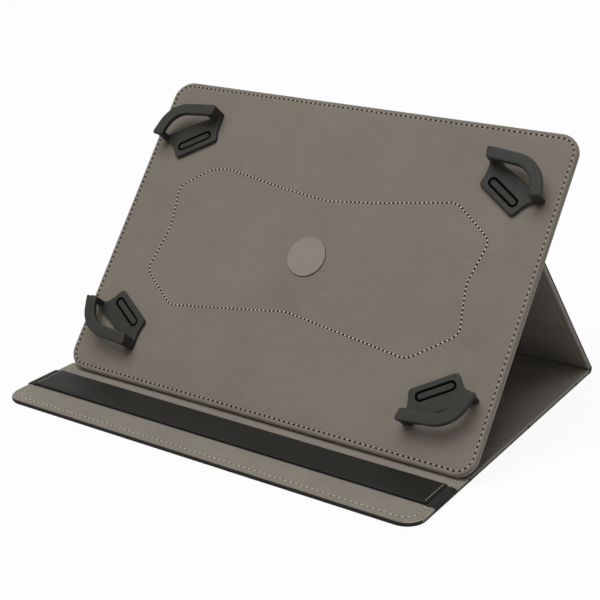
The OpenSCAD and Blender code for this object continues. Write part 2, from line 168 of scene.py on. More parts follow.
@dataclass(frozen=True)
class Sizes:
    """Sizes of the folio, as in the part's source but for a strap 3 mm longer at each end."""

    cover_w: float = 263 * MM
    corner_r: float = 11 * MM
    free_y: float = -108 * MM
    crease_1: float = -50 * MM
    crease_2: float = 21 * MM
    spine_y: float = 88 * MM
    fold_y: float = 108 * MM
    cover_t: float = 2.6 * MM
    lining_z: float = 2.0 * MM
    leg_l: float = 125.8 * MM
    top_l: float = 65 * MM
    plate_w: float = 264 * MM
    plate_h: float = 189 * MM
    plate_t: float = 5.6 * MM
    plate_r: float = 11.5 * MM
    plate_x: float = 2 * MM
    seat_y: float = 4.8 * MM
    seat_gap: float = 0.3 * MM
    crease_share: float = 0.635
    base_t: float = 1.0 * MM
    tab_r: float = 38 * MM
    tab_clear: float = 2.4 * MM
    cap_r: float = 11.75 * MM
    clip_x: float = 101.3 * MM
    clip_v: float = 55.8 * MM
    clip_a: float = math.radians(33)
    anchor_y: float = 24.4 * MM
    band_w: float = 14 * MM
    bar_l: float = 20.6 * MM
    bar_w: float = 3.6 * MM
    bar_z: float = 1.4 * MM
    bar_t: float = 1.1 * MM
    strap_l: float = 253 * MM
    strap_w: float = 22 * MM
    strap_t: float = 1.6 * MM
    strap_y: float = -77 * MM
    strap_z: float = 2.9 * MM
    elastic_t: float = 0.8 * MM

    @property
    def crease_v(self) -> float:
        """Height of the stand crease on the plate."""
        return self.crease_share * self.plate_h

    @property
    def notch_r(self) -> float:
        """Radius of the notch that leaves room for the swivel's tab."""
        return self.tab_r + self.tab_clear


class Frames:
    """Places of the leg, the top panel, the plate and the clips.

    They follow from the stand's triangle, as in the part's source.
    """

    def __init__(self, s: Sizes) -> None:
        """Work the stand triangle out.

        Args:
            s: Sizes of the folio.
        """
        self.sizes = s
        edge_r = s.plate_t / 2
        edge = Vector((s.plate_x, s.crease_1 - s.seat_y, s.cover_t + s.seat_gap + edge_r))
        back = edge_r + s.base_t + s.cover_t
        leg = math.hypot(s.leg_l, s.cover_t)
        plate = math.hypot(s.crease_v, back)
        dy, dz = s.fold_y - edge.y, s.cover_t - edge.z
        base = math.hypot(dy, dz)
        base_a = math.atan2(dz, dy)
        edge_a = math.acos((plate**2 + base**2 - leg**2) / (2 * plate * base))
        fold_a = math.acos((leg**2 + base**2 - plate**2) / (2 * leg * base))
        self.tilt = base_a + edge_a + math.atan2(back, s.crease_v)
        self.leg_a = math.pi + base_a - fold_a + math.atan2(s.cover_t, s.leg_l)
        self.crease = Vector((
            0,
            s.fold_y + s.leg_l * math.cos(self.leg_a) + s.cover_t * math.sin(self.leg_a),
            s.cover_t + s.leg_l * math.sin(self.leg_a) - s.cover_t * math.cos(self.leg_a),
        ))
        self.fold = Vector((0, s.fold_y, s.cover_t))
        self.swivel_y = s.plate_h / 2 - edge_r - s.crease_v
        self.leg = self._pitched(self.fold, self.leg_a) @ Matrix.Translation((0, 0, -s.cover_t))
        self.top = self._pitched(self.crease, self.tilt)
        to_middle = Matrix.Translation((0, s.plate_h / 2 - edge_r, -edge_r))
        self.plate = self._pitched(edge, self.tilt) @ to_middle

    @staticmethod
    def _pitched(origin: Vector, angle: float) -> Matrix:
        """Frame at a point, turned about X by an angle."""
        return Matrix.Translation(origin) @ Matrix.Rotation(angle, 4, "X")

    def clip(self, corner: Corner) -> Matrix:
        """Frame of a clip on the plate's face, with x along its slot and y outward.

        Args:
            corner: Corner of the plate.

        Returns:
            The frame, mirrored where the corner is left or low.
        """
        s = self.sizes
        flip = Matrix.Diagonal((*corner.value, 1, 1))
        place = Matrix.Translation((s.clip_x, s.clip_v, s.plate_t))
        return self.plate @ flip @ place @ Matrix.Rotation(-s.clip_a, 4, "Z")


# ---- Shader nodes ----


class Wire:
    """A number on its way through a node tree, with Python's operators."""

    def __init__(self, graph: "Graph", socket: bpy.types.NodeSocket) -> None:
        """Wrap an output socket.

        Args:
            graph: Graph that the socket belongs to.
            socket: The output socket.
        """
        self.graph = graph
        self.socket = socket

    def _math(self, operation: str, a: Any, b: Any) -> "Wire":
        """Add a Math node for one operation on two values."""
        node = self.graph.node("ShaderNodeMath", {"operation": operation}, {0: a, 1: b})
        return Wire(self.graph, node.outputs[0])

    def __add__(self, other: "Wire | Number") -> "Wire":
        """Sum."""
        return self._math("ADD", self, other)

    __radd__ = __add__

    def __sub__(self, other: "Wire | Number") -> "Wire":
        """Difference."""
        return self._math("SUBTRACT", self, other)

    def __rsub__(self, other: Number) -> "Wire":
        """Difference from a number."""
        return self._math("SUBTRACT", other, self)

    def __mul__(self, other: "Wire | Number") -> "Wire":
        """Product."""
        return self._math("MULTIPLY", self, other)

    __rmul__ = __mul__

    def larger(self, other: "Wire") -> "Wire":
        """The larger of two values."""
        return self._math("MAXIMUM", self, other)

    def sine(self) -> "Wire":
        """Sine."""
        return self._math("SINE", self, 0)

    def ramp(self, low: float, high: float) -> "Wire":
        """Map low to 0 and high to 1, held at both ends."""
        ends = {0: self, 1: low, 2: high, 3: 0.0, 4: 1.0}
        return Wire(self.graph, self.graph.node("ShaderNodeMapRange", {"clamp": True}, ends).outputs[0])


class Graph:
    """Node tree in the making, of a material or of the world."""

    def __init__(self, tree: bpy.types.NodeTree) -> None:
        """Start with an empty tree.

        Args:
            tree: The tree, which loses the nodes it has.
        """
        self.tree = tree
        tree.nodes.clear()

    def node(self, kind: str, settings: Mapping[str, Any], inputs: Mapping[Any, Any]) -> bpy.types.Node:
        """Add a node.

        Args:
            kind: Blender's name of the node's type.
            settings: Properties of the node, set first.
            inputs: Values or links of its sockets, by name or number.

        Returns:
            The new node.
        """
        made = self.tree.nodes.new(kind)
        for key, value in settings.items():
            setattr(made, key, value)
        for key, value in inputs.items():
            self.feed(made.inputs[key], value)
        return made

    def feed(self, socket: bpy.types.NodeSocket, value: Any) -> None:
        """Link or set an input.

        Args:
            socket: The input.
            value: A wire or an output socket to link, or the number, vector or colour to set.
        """
        if isinstance(value, Wire):
            value = value.socket
        if isinstance(value, bpy.types.NodeSocket):
            self.tree.links.new(value, socket)
        elif socket.type == "RGBA":
            socket.default_value = (*value, 1.0)
        else:
            socket.default_value = value

    def rays(self, *kinds: str) -> Wire:
        """Whether a ray is of one of the given kinds.

        Args:
            kinds: Kinds of ray, as in "Is Camera Ray" without the outer words.

        Returns:
            1 for such a ray, otherwise 0.
        """
        path = self.node("ShaderNodeLightPath", {}, {})
        first, *others = [Wire(self, path.outputs[f"Is {kind} Ray"]) for kind in kinds]
        for other in others:
            first = first.larger(other)
        return first

    def blend(self, share: Wire, low: Any, high: Any) -> bpy.types.NodeSocket:
        """Mix two colours.

        Args:
            share: Share of the second colour, from 0 to 1.
            low: First colour.
            high: Second colour.

        Returns:
            The mixed colour, which is a Mix node's third result.
        """
        made = self.node("ShaderNodeMix", {"data_type": "RGBA"}, {0: share, 6: low, 7: high})
        return made.outputs[2]


def shade(colour: Colour, factor: float) -> Colour:
    """A colour made darker or lighter."""
    return (colour[0] * factor, colour[1] * factor, colour[2] * factor)


class MaterialGraph(Graph):
    """Material in the making, round a Principled shader."""

    def __init__(self, name: str) -> None:
        """Start with a plain shader.

        Args:
            name: Name of the material.
        """
        self.material = bpy.data.materials.new(name)
        self.material.use_nodes = True
        super().__init__(self.material.node_tree)
        self.shader = self.node("ShaderNodeBsdfPrincipled", {}, {})
        self.output = self.node("ShaderNodeOutputMaterial", {}, {0: self.shader.outputs[0]})
        self.place = self.node("ShaderNodeTexCoord", {}, {}).outputs["Object"]

    def noise(self, scale: float, detail: float = 2.0, stretch: Sequence[float] = (1, 1, 1)) -> Wire:
        """Noise on object coordinates.

        Args:
            scale: Features a metre.
            detail: Octaves.
            stretch: Scale of the pattern along each axis.

        Returns:
            The noise, around 0.5.
        """
        mapping = self.node("ShaderNodeMapping", {}, {"Vector": self.place, "Scale": tuple(stretch)})
        sockets = {"Vector": mapping.outputs[0], "Scale": scale, "Detail": detail}
        return Wire(self, self.node("ShaderNodeTexNoise", {}, sockets).outputs[0])

    def cells(self, scale: float, feature: str) -> Wire:
        """Distance in a cell pattern on object coordinates."""
        made = self.node("ShaderNodeTexVoronoi", {"feature": feature}, {"Vector": self.place, "Scale": scale})
        return Wire(self, made.outputs["Distance"])

    def axis(self, direction: Sequence[float]) -> Wire:
        """Distance along a direction, in metres."""
        made = self.node("ShaderNodeVectorMath", {"operation": "DOT_PRODUCT"}, {0: self.place, 1: direction})
        return Wire(self, made.outputs["Value"])

    def waves(self, direction: Sequence[float], pitch: float) -> Wire:
        """Sine waves from 0 to 1 along a direction, one to each pitch."""
        return (self.axis(direction) * (2 * math.pi / pitch)).sine() * 0.5 + 0.5

    def shades(self, share: Wire, tone: Colour, dark: float, light: float) -> bpy.types.NodeSocket:
        """A colour between a darker and a lighter shade of a tone."""
        return self.blend(share, shade(tone, dark), shade(tone, light))

    def bump(self, height: Wire, distance: float, strength: float) -> None:
        """Feed the shader's normal.

        Args:
            height: Height of the surface, from 0 to 1.
            distance: What a height of 1 is, in metres.
            strength: Share of the bump that shows.
        """
        made = self.node(
            "ShaderNodeBump", {}, {"Height": height, "Distance": distance, "Strength": strength})
        self.feed(self.shader.inputs["Normal"], made.outputs[0])

    def paint(self, **inputs: Any) -> None:
        """Feed sockets of the shader, with underscores for spaces in their names."""
        for key, value in inputs.items():
            self.feed(self.shader.inputs[key.replace("_", " ")], value)


# ---- Finishes ----


@dataclass(frozen=True)
class Suede:
    """Brushed microfibre suede with a short nap. Patterns are in features a metre."""

    name: str
    tone: Colour
    mottle: float = 0.10
    nap: float = 0.16 * MM
    clouds: float = 22
    strokes: float = 150
    fibres: float = 3600
    shine: float = 0.2

    def build(self) -> bpy.types.Material:
        """Make the material.

        Returns:
            Suede that is clouded by handling and streaked by brushing.
        """
        g = MaterialGraph(self.name)
        cloud = g.noise(self.clouds, 4).ramp(0.3, 0.7)
        stroke = g.noise(self.strokes, 4, (1, 1.7, 1.7)).ramp(0.25, 0.75)
        fibre = g.noise(self.fibres)
        mixed = cloud * 0.45 + stroke * 0.3 + fibre * 0.25
        tone = g.shades(mixed.ramp(0.1, 0.9), self.tone, 1 - self.mottle, 1 + self.mottle)
        g.paint(
            Base_Color=tone, Roughness=0.96 - stroke * 0.08, Sheen_Weight=0.18, Sheen_Roughness=0.45,
            Specular_IOR_Level=self.shine)
        g.bump(fibre * 0.7 + stroke * 0.3, self.nap, 0.7)
        return g.material


@dataclass(frozen=True)
class GrainedLeather:
    """Black coated leather with a fine pebble grain. Patterns are in features a metre."""

    name: str
    tone: Colour
    pebbles: float = 950
    wrinkles: float = 351.5
    pores: float = 5200
    clouds: float = 40
    depth: float = 0.14 * MM
    roughness: float = 0.45
    shine: float = 0.16

    def build(self) -> bpy.types.Material:
        """Make the material.

        Returns:
            Leather whose pebbles, wrinkles and pores stand up together.
        """
        g = MaterialGraph(self.name)
        pebble = g.cells(self.pebbles, "SMOOTH_F1")
        wrinkle = g.cells(self.wrinkles, "DISTANCE_TO_EDGE").ramp(0.0, 0.12)
        cloud = g.noise(self.clouds)
        height = (1 - pebble) * 0.6 + wrinkle * 0.25 + g.noise(self.pores) * 0.15
        g.paint(
            Base_Color=g.shades(cloud.ramp(0.35, 0.65), self.tone, 0.85, 1.2),
            Roughness=self.roughness + pebble * 0.12 + cloud * 0.1, Specular_IOR_Level=self.shine)
        g.bump(height, self.depth, 0.8)
        return g.material


@dataclass(frozen=True)
class Rubber:
    """Moulded rubbery plastic with a satin face. Patterns are in features a metre."""

    name: str
    tone: Colour
    clouds: float = 120
    smears: float = 420
    sparks: float = 6000
    depth: float = 0.03 * MM
    shine: float = 0.22

    def build(self) -> bpy.types.Material:
        """Make the material.

        Returns:
            Plastic with the fine spark finish of its mould.
        """
        g = MaterialGraph(self.name)
        g.paint(
            Base_Color=g.shades(g.noise(self.clouds, 3).ramp(0.3, 0.7), self.tone, 0.92, 1.1),
            Roughness=0.5 + g.noise(self.smears).ramp(0.3, 0.8) * 0.14, Specular_IOR_Level=self.shine)
        g.bump(g.noise(self.sparks), self.depth, 0.6)
        return g.material


@dataclass(frozen=True)
class Ribbed:
    """Woven elastic with ribs along one direction and weft along another."""

    name: str
    tone: Colour
    along: tuple[float, float, float]
    across: tuple[float, float, float]
    pitch: float
    weft_pitch: float = 0.6 * MM
    fuzz: float = 4200
    depth: float = 0.25 * MM
    shine: float = 0.15

    def build(self) -> bpy.types.Material:
        """Make the material.

        Returns:
            Elastic with painted shade between its ribs, its colour following their height.
        """
        g = MaterialGraph(self.name)
        rib = g.waves(self.along, self.pitch)
        height = rib * 0.65 + g.waves(self.across, self.weft_pitch) * 0.2 + g.noise(self.fuzz) * 0.15
        # Colour follows the height: painted shade between the ribs, lighter on their crests
        g.paint(
            Base_Color=g.shades(height, self.tone, 0.35, 1.45), Roughness=0.85 - rib * 0.15,
            Specular_IOR_Level=self.shine)
        g.bump(height, self.depth, 1.0)
        return g.material


@dataclass(frozen=True)
class Thread:
    """Twisted sewing thread, with its twist in features a metre."""

    name: str
    tone: Colour
    shine: float = 0.12
    twists: float = 5200
    depth: float = 0.1 * MM

    def build(self) -> bpy.types.Material:
        """Make the material.

        Returns:
            Thread, or with no shine the dark of a needle hole.
        """
        g = MaterialGraph(self.name)
        twist = g.noise(self.twists)
        g.paint(
            Base_Color=g.shades(twist.ramp(0.3, 0.7), self.tone, 0.72, 1.12), Roughness=0.8 - twist * 0.1,
            Specular_IOR_Level=self.shine)
        g.bump(twist, self.depth, 0.5)
        return g.material


@dataclass(frozen=True)
class Plain:
    """Hard plastic, metal, or painted shade for gaps, recesses and holes, slightly uneven."""

    name: str
    tone: Colour
    rough: float
    metal: float = 0.0
    grain: float = 900
    shine: float = 0.3
    depth: float = 0.03 * MM

    def build(self) -> bpy.types.Material:
        """Make the material.

        Returns:
            A face with fine brush marks across X.
        """
        g = MaterialGraph(self.name)
        cloud = g.noise(self.grain, 3)
        brushed = g.noise(self.grain * 3, stretch=(1, 12, 12))
        g.paint(
            Base_Color=g.shades(cloud.ramp(0.3, 0.7), self.tone, 0.92, 1.06), Metallic=self.metal,
            Roughness=self.rough + brushed * 0.1, Specular_IOR_Level=self.shine)
        g.bump(cloud * 0.5 + brushed * 0.5, self.depth, 0.5)
        return g.material


class Finishes:
    """The folio's finishes by what they cover."""

    def __init__(self) -> None:
        """Make the materials."""
        self.suede = Suede("suede_lining", (0.285, 0.257, 0.216)).build()
        self.plate_suede = Suede("suede_plate", (0.254, 0.222, 0.184)).build()
        # Lighter suede whose colour paints a highlight on rounded edges that face the light
        self.suede_edge = Suede("suede_edge", (0.49, 0.455, 0.39)).build()
        self.cap_suede = Suede("suede_cap", (0.33, 0.297, 0.25)).build()
        self.leather = GrainedLeather("black_leather", (0.0125, 0.012, 0.0105)).build()
        self.strap = GrainedLeather(
            "strap_leather", (0.0115, 0.0118, 0.0098), pebbles=1700, wrinkles=629, depth=0.05 * MM).build()
        self.rubber = Rubber("clip_rubber", (0.0265, 0.0265, 0.0225)).build()
        self.elastic = Ribbed(
            "strap_elastic", (0.03, 0.0295, 0.027), along=(1, 0, -1), across=(0, 1, 0),
            pitch=1.3 * MM).build()
        self.webbing = Ribbed(
            "clip_webbing", (0.062, 0.063, 0.055), along=(1, 0, 0), across=(0, 0.6, 0.79),
            pitch=0.8 * MM, weft_pitch=0.5 * MM).build()
        self.thread = Thread("cream_thread", (0.74, 0.69, 0.59)).build()
        self.dark_thread = Thread("black_thread", (0.035, 0.034, 0.031)).build()
        self.taupe_thread = Thread("taupe_thread", (0.56, 0.515, 0.44)).build()
        self.needle_hole = Thread("needle_hole", (0.009, 0.0075, 0.006), shine=0.0).build()
        self.soft_hole = Thread("soft_hole", (0.10, 0.086, 0.07), shine=0.0).build()
        self.plastic = Plain("black_plastic", (0.025, 0.025, 0.024), 0.42).build()
        self.steel = Plain("plain_steel", (0.62, 0.62, 0.61), 0.3, metal=1.0, grain=400).build()
        # Near black painted shade for the clip recesses, the swivel disc's shadow and the strap's needle
        # holes
        self.shadow = Plain("painted_shade", (0.008, 0.0075, 0.0065), 0.95, shine=0.0).build()

    @property
    def lining(self) -> list[bpy.types.Material]:
        """Materials of a lining: its face, then the lighter suede of a painted highlight on its rolled edge.
        """
        return [self.suede, self.suede_edge]


# ---- Mesh work ----


class Shape:
    """A mesh in the making, in its own frame, built with bmesh operators."""

    def __init__(self) -> None:
        """Start empty."""
        self.bm = bmesh.new()

    def slab(self, low: Sequence[float], high: Sequence[float]) -> "Shape":
        """Add a box.

        Args:
            low: Its corner with the lowest coordinates.
            high: The opposite corner.

        Returns:
            This shape.
        """
        size = [h - l for l, h in zip(low, high)]
        centre = [(h + l) / 2 for l, h in zip(low, high)]
        place = Matrix.Translation(centre) @ Matrix.Diagonal((*size, 1))
        bmesh.ops.create_cube(self.bm, size=1, matrix=place)
        return self

    def edges(self, test: Callable[[bmesh.types.BMEdge], bool]) -> list[bmesh.types.BMEdge]:
        """Edges that pass a test."""
        return [e for e in self.bm.edges if test(e)]

    def bevel(self, edges: list[bmesh.types.BMEdge], radius: float, segments: int) -> "Shape":
        """Round edges off.

        Args:
            edges: The edges.
            radius: Radius of the rounding.
            segments: Faces across it.

        Returns:
            This shape.
        """
        if edges:
            bmesh.ops.bevel(
                self.bm, geom=edges, offset=radius, offset_type="OFFSET", segments=segments,
                profile=0.5, affect="EDGES", clamp_overlap=True, material=-1)
        return self

    def round_corners(self, y: float, radius: float, segments: int = 10) -> "Shape":
        """Round the upright corner edges at one end of a slab.

        Args:
            y: Place of that end.
            radius: Radius of the rounding.
            segments: Faces across it.

        Returns:
            This shape.
        """
        at_end = self.edges(lambda e: all(abs(v.co.y - y) < TOUCH for v in e.verts))
        upright = [e for e in at_end if abs(e.verts[0].co.z - e.verts[1].co.z) > 10 * TOUCH]
        return self.bevel(upright, radius, segments)

    def round_rim(self, z: float, radius: float, segments: int = 3) -> "Shape":
        """Round the edges that lie at one height."""
        rim = self.edges(lambda e: all(abs(v.co.z - z) < TOUCH for v in e.verts))
        return self.bevel(rim, radius, segments)

    def face_at(self, z: float) -> bmesh.types.BMFace:
        """Largest level face at a height."""
        level = [f for f in self.bm.faces if all(abs(v.co.z - z) < TOUCH for v in f.verts)]
        return max(level, key=lambda f: f.calc_area())

    def groove(self, z: float, steps: Iterable[tuple[float, float]]) -> "Shape":
        """Inset the level face at a height step by step, each with its own depth.

        Args:
            z: Height of the face.
            steps: Distance to go in and depth below z, for each loop.

        Returns:
            This shape.
        """
        face = self.face_at(z)
        for distance, depth in steps:
            bmesh.ops.inset_region(self.bm, faces=[face], thickness=distance, use_even_offset=True)
            for v in face.verts:
                v.co.z = z - depth
        return self

    def sliced(self, axis: Vector, positions: Iterable[float]) -> "Shape":
        """Cut edges in across the mesh.

        Args:
            axis: Direction that the cuts stand across.
            positions: Places of the cuts along it.

        Returns:
            This shape.
        """
        for place in positions:
            self._bisect(axis * place, axis)
        return self

    def _bisect(self, point: Vector, normal: Vector, outer: bool = False, inner: bool = False) -> None:
        """Cut the mesh with a plane.

        Args:
            point: A point on the plane.
            normal: The plane's normal.
            outer: Whether to drop what lies on the normal's side.
            inner: Whether to drop what lies on the other side.
        """
        geometry = [*self.bm.verts, *self.bm.edges, *self.bm.faces]
        bmesh.ops.bisect_plane(
            self.bm, geom=geometry, dist=TOUCH, plane_co=point, plane_no=normal,
            clear_outer=outer, clear_inner=inner)

    def between(self, y0: float, y1: float) -> "Shape":
        """Copy a stretch of the shape.

        Args:
            y0: Where it starts.
            y1: Where it ends.

        Returns:
            The stretch, with its cut ends closed.
        """
        along = Vector((0, 1, 0))
        part = Shape()
        part.bm = self.bm.copy()
        part._bisect(along * y0, along, inner=True)
        part._bisect(along * y1, along, outer=True)
        open_edges = part.edges(lambda e: e.is_boundary)
        if open_edges:
            bmesh.ops.holes_fill(part.bm, edges=open_edges, sides=0)
        return part

    def spin(self, axis_at: Vector, start: float, sweep: float, inner: float, outer: float,
             x0: float, x1: float, steps: int) -> "Shape":
        """Add a ring sector round an axis along X.

        Args:
            axis_at: Point on the axis.
            start: Angle where it starts.
            sweep: Angle that it covers.
            inner: Inner radius.
            outer: Outer radius.
            x0: Its lower end.
            x1: Its upper end.
            steps: Segments of the sweep.

        Returns:
            This shape.
        """
        out = Vector((0, math.cos(start), math.sin(start)))
        corners = [
            axis_at + out * r + Vector((x, 0, 0))
            for r, x in ((inner, x0), (outer, x0), (outer, x1), (inner, x1))]
        face = self.bm.faces.new([self.bm.verts.new(c) for c in corners])
        bmesh.ops.spin(
            self.bm, geom=[face, *face.edges, *face.verts], cent=axis_at, axis=(1, 0, 0),
            angle=sweep, steps=steps, use_merge=False, use_duplicate=False)
        bmesh.ops.recalc_face_normals(self.bm, faces=self.bm.faces[:])
        return self

    def prism(self, outline: Path, z0: float, z1: float) -> "Shape":
        """Add an upright prism.

        Args:
            outline: Its outline, seen from above.
            z0: Height of its foot.
            z1: Height of its top.

        Returns:
            This shape.
        """
        base = self.bm.faces.new([self.bm.verts.new((p.x, p.y, z0)) for p in outline])
        raised = bmesh.ops.extrude_face_region(self.bm, geom=[base], use_keep_orig=True)
        bmesh.ops.translate(self.bm, vec=(0, 0, z1 - z0), verts=vertices(raised))
        bmesh.ops.recalc_face_normals(self.bm, faces=self.bm.faces[:])
        return self

    def cylinder(self, radius: float, z0: float, z1: float,
                 at: Sequence[float] = (0, 0), segments: int = 64) -> "Shape":
        """Add an upright cylinder.

        Args:
            radius: Its radius.
            z0: Height of its foot.
            z1: Height of its top.
            at: Its axis, seen from above.
            segments: Sides of its outline.

        Returns:
            This shape.
        """
        place = Matrix.Translation((at[0], at[1], (z0 + z1) / 2))
        bmesh.ops.create_cone(
            self.bm, cap_ends=True, segments=segments, radius1=radius, radius2=radius, depth=z1 - z0,
            matrix=place)
        return self

    def tag_faces(self, test: Callable[[bmesh.types.BMFace], bool]) -> "Shape":
        """Give faces the second of the piece's materials.

        Args:
            test: Whether a face takes it.

        Returns:
            This shape.
        """
        self.bm.normal_update()
        for face in self.bm.faces:
            if test(face):
                face.material_index = 1
        return self

    def tag_rolled_edge(self, level: float = 0.85, sideways: float = 0.3) -> "Shape":
        """Give the faces that turn down at both sides the second material, the lighter suede of a painted
        highlight.

        Args:
            level: Upright part of the normal over which a face counts as level.
            sideways: Sideways part of the normal that a face needs.

        Returns:
            This shape.
        """
        return self.tag_faces(lambda f: abs(f.normal.z) < level and abs(f.normal.x) > sideways)

    def piece(self, name: str, frame: Matrix, materials: Sequence[bpy.types.Material],
              smooth_under: float = 1e-5) -> bpy.types.Object:
        """Make the Blender object.

        Args:
            name: Name of the piece.
            frame: Its frame, which goes into the mesh.
            materials: Its materials in order.
            smooth_under: Faces smaller than this, in square metres, are shaded smooth.

        Returns:
            The object, at the origin.
        """
        bmesh.ops.remove_doubles(self.bm, verts=self.bm.verts[:], dist=TOUCH)
        self.bm.transform(frame)
        bmesh.ops.recalc_face_normals(self.bm, faces=self.bm.faces[:])
        for face in self.bm.faces:
            face.smooth = face.calc_area() < smooth_under
        mesh = bpy.data.meshes.new(name)
        self.bm.to_mesh(mesh)
        self.bm.free()
        made = bpy.data.objects.new(name, mesh)
        bpy.context.scene.collection.objects.link(made)
        for material in materials:
            mesh.materials.append(material)
        return made


def vertices(result: Mapping[str, Sequence[Any]]) -> list[bmesh.types.BMVert]:
    """Vertices in an operator's result."""
    return [v for v in result["geom"] if isinstance(v, bmesh.types.BMVert)]


def applied(piece: bpy.types.Object) -> bpy.types.Object:
    """Bake a piece's modifiers into its mesh.

    Args:
        piece: The piece.

    Returns:
        The same piece, without modifiers.
    """
    graph = bpy.context.evaluated_depsgraph_get()
    mesh = bpy.data.meshes.new_from_object(piece.evaluated_get(graph))
    piece.modifiers.clear()
    piece.data = mesh
    return piece


def carve(base: Shape, tool: Shape, operation: str) -> Shape:
    """Join or cut two shapes with a Boolean modifier, and merge what is flat.

    Args:
        base: The shape that is changed.
        tool: The shape that joins it or cuts it.
        operation: UNION or DIFFERENCE.

    Returns:
        The result as a new shape.
    """
    a, b = (shape.piece("carving", IN_PLACE, []) for shape in (base, tool))
    boolean = a.modifiers.new("carve", "BOOLEAN")
    boolean.operation = operation
    boolean.solver = "EXACT"
    boolean.object = b
    applied(a)
    result = Shape()
    result.bm.from_mesh(a.data)
    for made in (a, b):
        bpy.data.objects.remove(made)
    flat = result.edges(lambda e: len(e.link_faces) == 2 and e.calc_face_angle(1) < 1e-4)
    bmesh.ops.dissolve_edges(result.bm, edges=flat, use_verts=False)
    return result


# ---- Outlines and stitching ----


def arc(centre: Vector, radius: float, start: float, end: float, steps: int = 8) -> Path:
    """Points of a level arc, with angles in degrees."""
    angles = [math.radians(start + (end - start) * i / steps) for i in range(steps + 1)]
    return [centre + Vector((radius * math.cos(a), radius * math.sin(a), 0)) for a in angles]


def rounded_path(w: float, h: float, r: float) -> Path:
    """Path round a rectangle with round corners, centred.

    Args:
        w: Its width.
        h: Its height.
        r: Radius of its corners.

    Returns:
        The path, closed by its first point.
    """
    x, y = w / 2 - r, h / 2 - r
    path: Path = []
    for sx, sy, start in ((1, 1, 0), (-1, 1, 90), (-1, -1, 180), (1, -1, 270)):
        path += arc(Vector((sx * x, sy * y, 0)), r, start, start + 90)
    return [*path, path[0]]


def scaled(points: Iterable[tuple[float, float]]) -> list[tuple[float, float]]:
    """Points given in millimetres, in metres."""
    return [(x * MM, y * MM) for x, y in points]


def eased(points: Sequence[tuple[float, float]], radius: float, steps: int = 8) -> Path:
    """Round an outline's corners off.

    Args:
        points: Corners of the closed outline.
        radius: How far a rounding reaches along each side, where there is room.
        steps: Segments of each rounding.

    Returns:
        The outline, without its first point at the end.
    """
    path: Path = []
    corners = [Vector((*point, 0)) for point in points]
    for i, here in enumerate(corners):
        before = corners[i - 1] - here
        after = corners[(i + 1) % len(corners)] - here
        reach = min(radius, before.length / 2.2, after.length / 2.2)
        a, b = here + before.normalized() * reach, here + after.normalized() * reach
        path += [a.lerp(here, k / steps).lerp(here.lerp(b, k / steps), k / steps) for k in range(steps + 1)]
    return path


@dataclass
class StitchRow:
    """Row of stitches along a path, each a bead of thread between two needle holes.

    The three shares say how high the bead and the hole sit, and how deep the
    hole is, next to the thread's rise.
    """

    path: Path
    z: float
    pitch: float = 3.14 * MM
    width: float = 0.62 * MM
    thread_rise: float = 0.16 * MM
    thread_share: float = 0.72
    hole_l: float = 0.46 * MM
    hole_r: float = 0.46 * MM
    thread_up: float = 0.3
    hole_up: float = 0.1
    hole_share: float = 0.55
    outside: bool = False
    batch: int = 24

    def places(self) -> list[tuple[Vector, float]]:
        """Space the stitches evenly along the path.

        Returns:
            Middle and direction of each stitch.
        """
        spans = list(zip(self.path[:-1], self.path[1:]))
        total = sum((b - a).length for a, b in spans)
        count = max(1, round(total / self.pitch))
        step = total / count
        found: list[tuple[Vector, float]] = []
        walked, target = 0.0, step / 2
        for a, b in spans:
            length = (b - a).length
            while target <= walked + length + 1e-9 and len(found) < count:
                along = (b - a) * ((target - walked) / length)
                found.append((a + along, math.atan2(b.y - a.y, b.x - a.x)))
                target += step
            walked += length
        return found

    def add_to(self, shape: Shape, lift: Callable[[float, float], float] | None = None) -> None:
        """Add the row's stitches and needle holes to a shape, in small batches for speed.

        Args:
            shape: The shape that takes them.
            lift: Height of the ground above z at a point, if it isn't level.
        """
        rise = -self.thread_rise if self.outside else self.thread_rise
        bead = Matrix.Translation((0, 0, rise * self.thread_up)) @ Matrix.Diagonal(
            (self.pitch * self.thread_share / 2, self.width / 2, self.thread_rise, 1))
        hole = Matrix.Translation((-self.pitch / 2, 0, rise * self.hole_up)) @ Matrix.Diagonal(
            (self.hole_l, self.hole_r, self.thread_rise * self.hole_share, 1))
        places = self.places()
        for first in range(0, len(places), self.batch):
            batch = bmesh.new()
            for middle, angle in places[first:first + self.batch]:
                up = lift(middle.x, middle.y) if lift else 0.0
                turn = Matrix.Translation((middle.x, middle.y, self.z + up)) @ Matrix.Rotation(angle, 4, "Z")
                self._ball(batch, turn @ bead, 0)
                self._ball(batch, turn @ hole, 1)
            mesh = bpy.data.meshes.new("stitches")
            batch.to_mesh(mesh)
            batch.free()
            shape.bm.from_mesh(mesh)
            bpy.data.meshes.remove(mesh)

    @staticmethod
    def _ball(batch: bmesh.types.BMesh, place: Matrix, material: int) -> None:
        """Add a low ball.

        Args:
            batch: The mesh that takes it.
            place: Its place, size and flattening.
            material: Its material's place in the piece's list.
        """
        made = bmesh.ops.create_uvsphere(batch, u_segments=7, v_segments=4, radius=1, matrix=place)
        for face in {f for v in made["verts"] for f in v.link_faces}:
            face.material_index = material


def placed(piece: bpy.types.Object, body: Body, slot: Slot, *nodes: str) -> None:
    """Let a piece ride on a body.

    Args:
        piece: The piece.
        body: The body.
        slot: Material slot of the part; not used.
        nodes: Nodes of the part that it stands for.
    """
    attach(piece, body.value)
    if nodes:
        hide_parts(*nodes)
    LOG.info("%s rides on %s", piece.name, body.value)


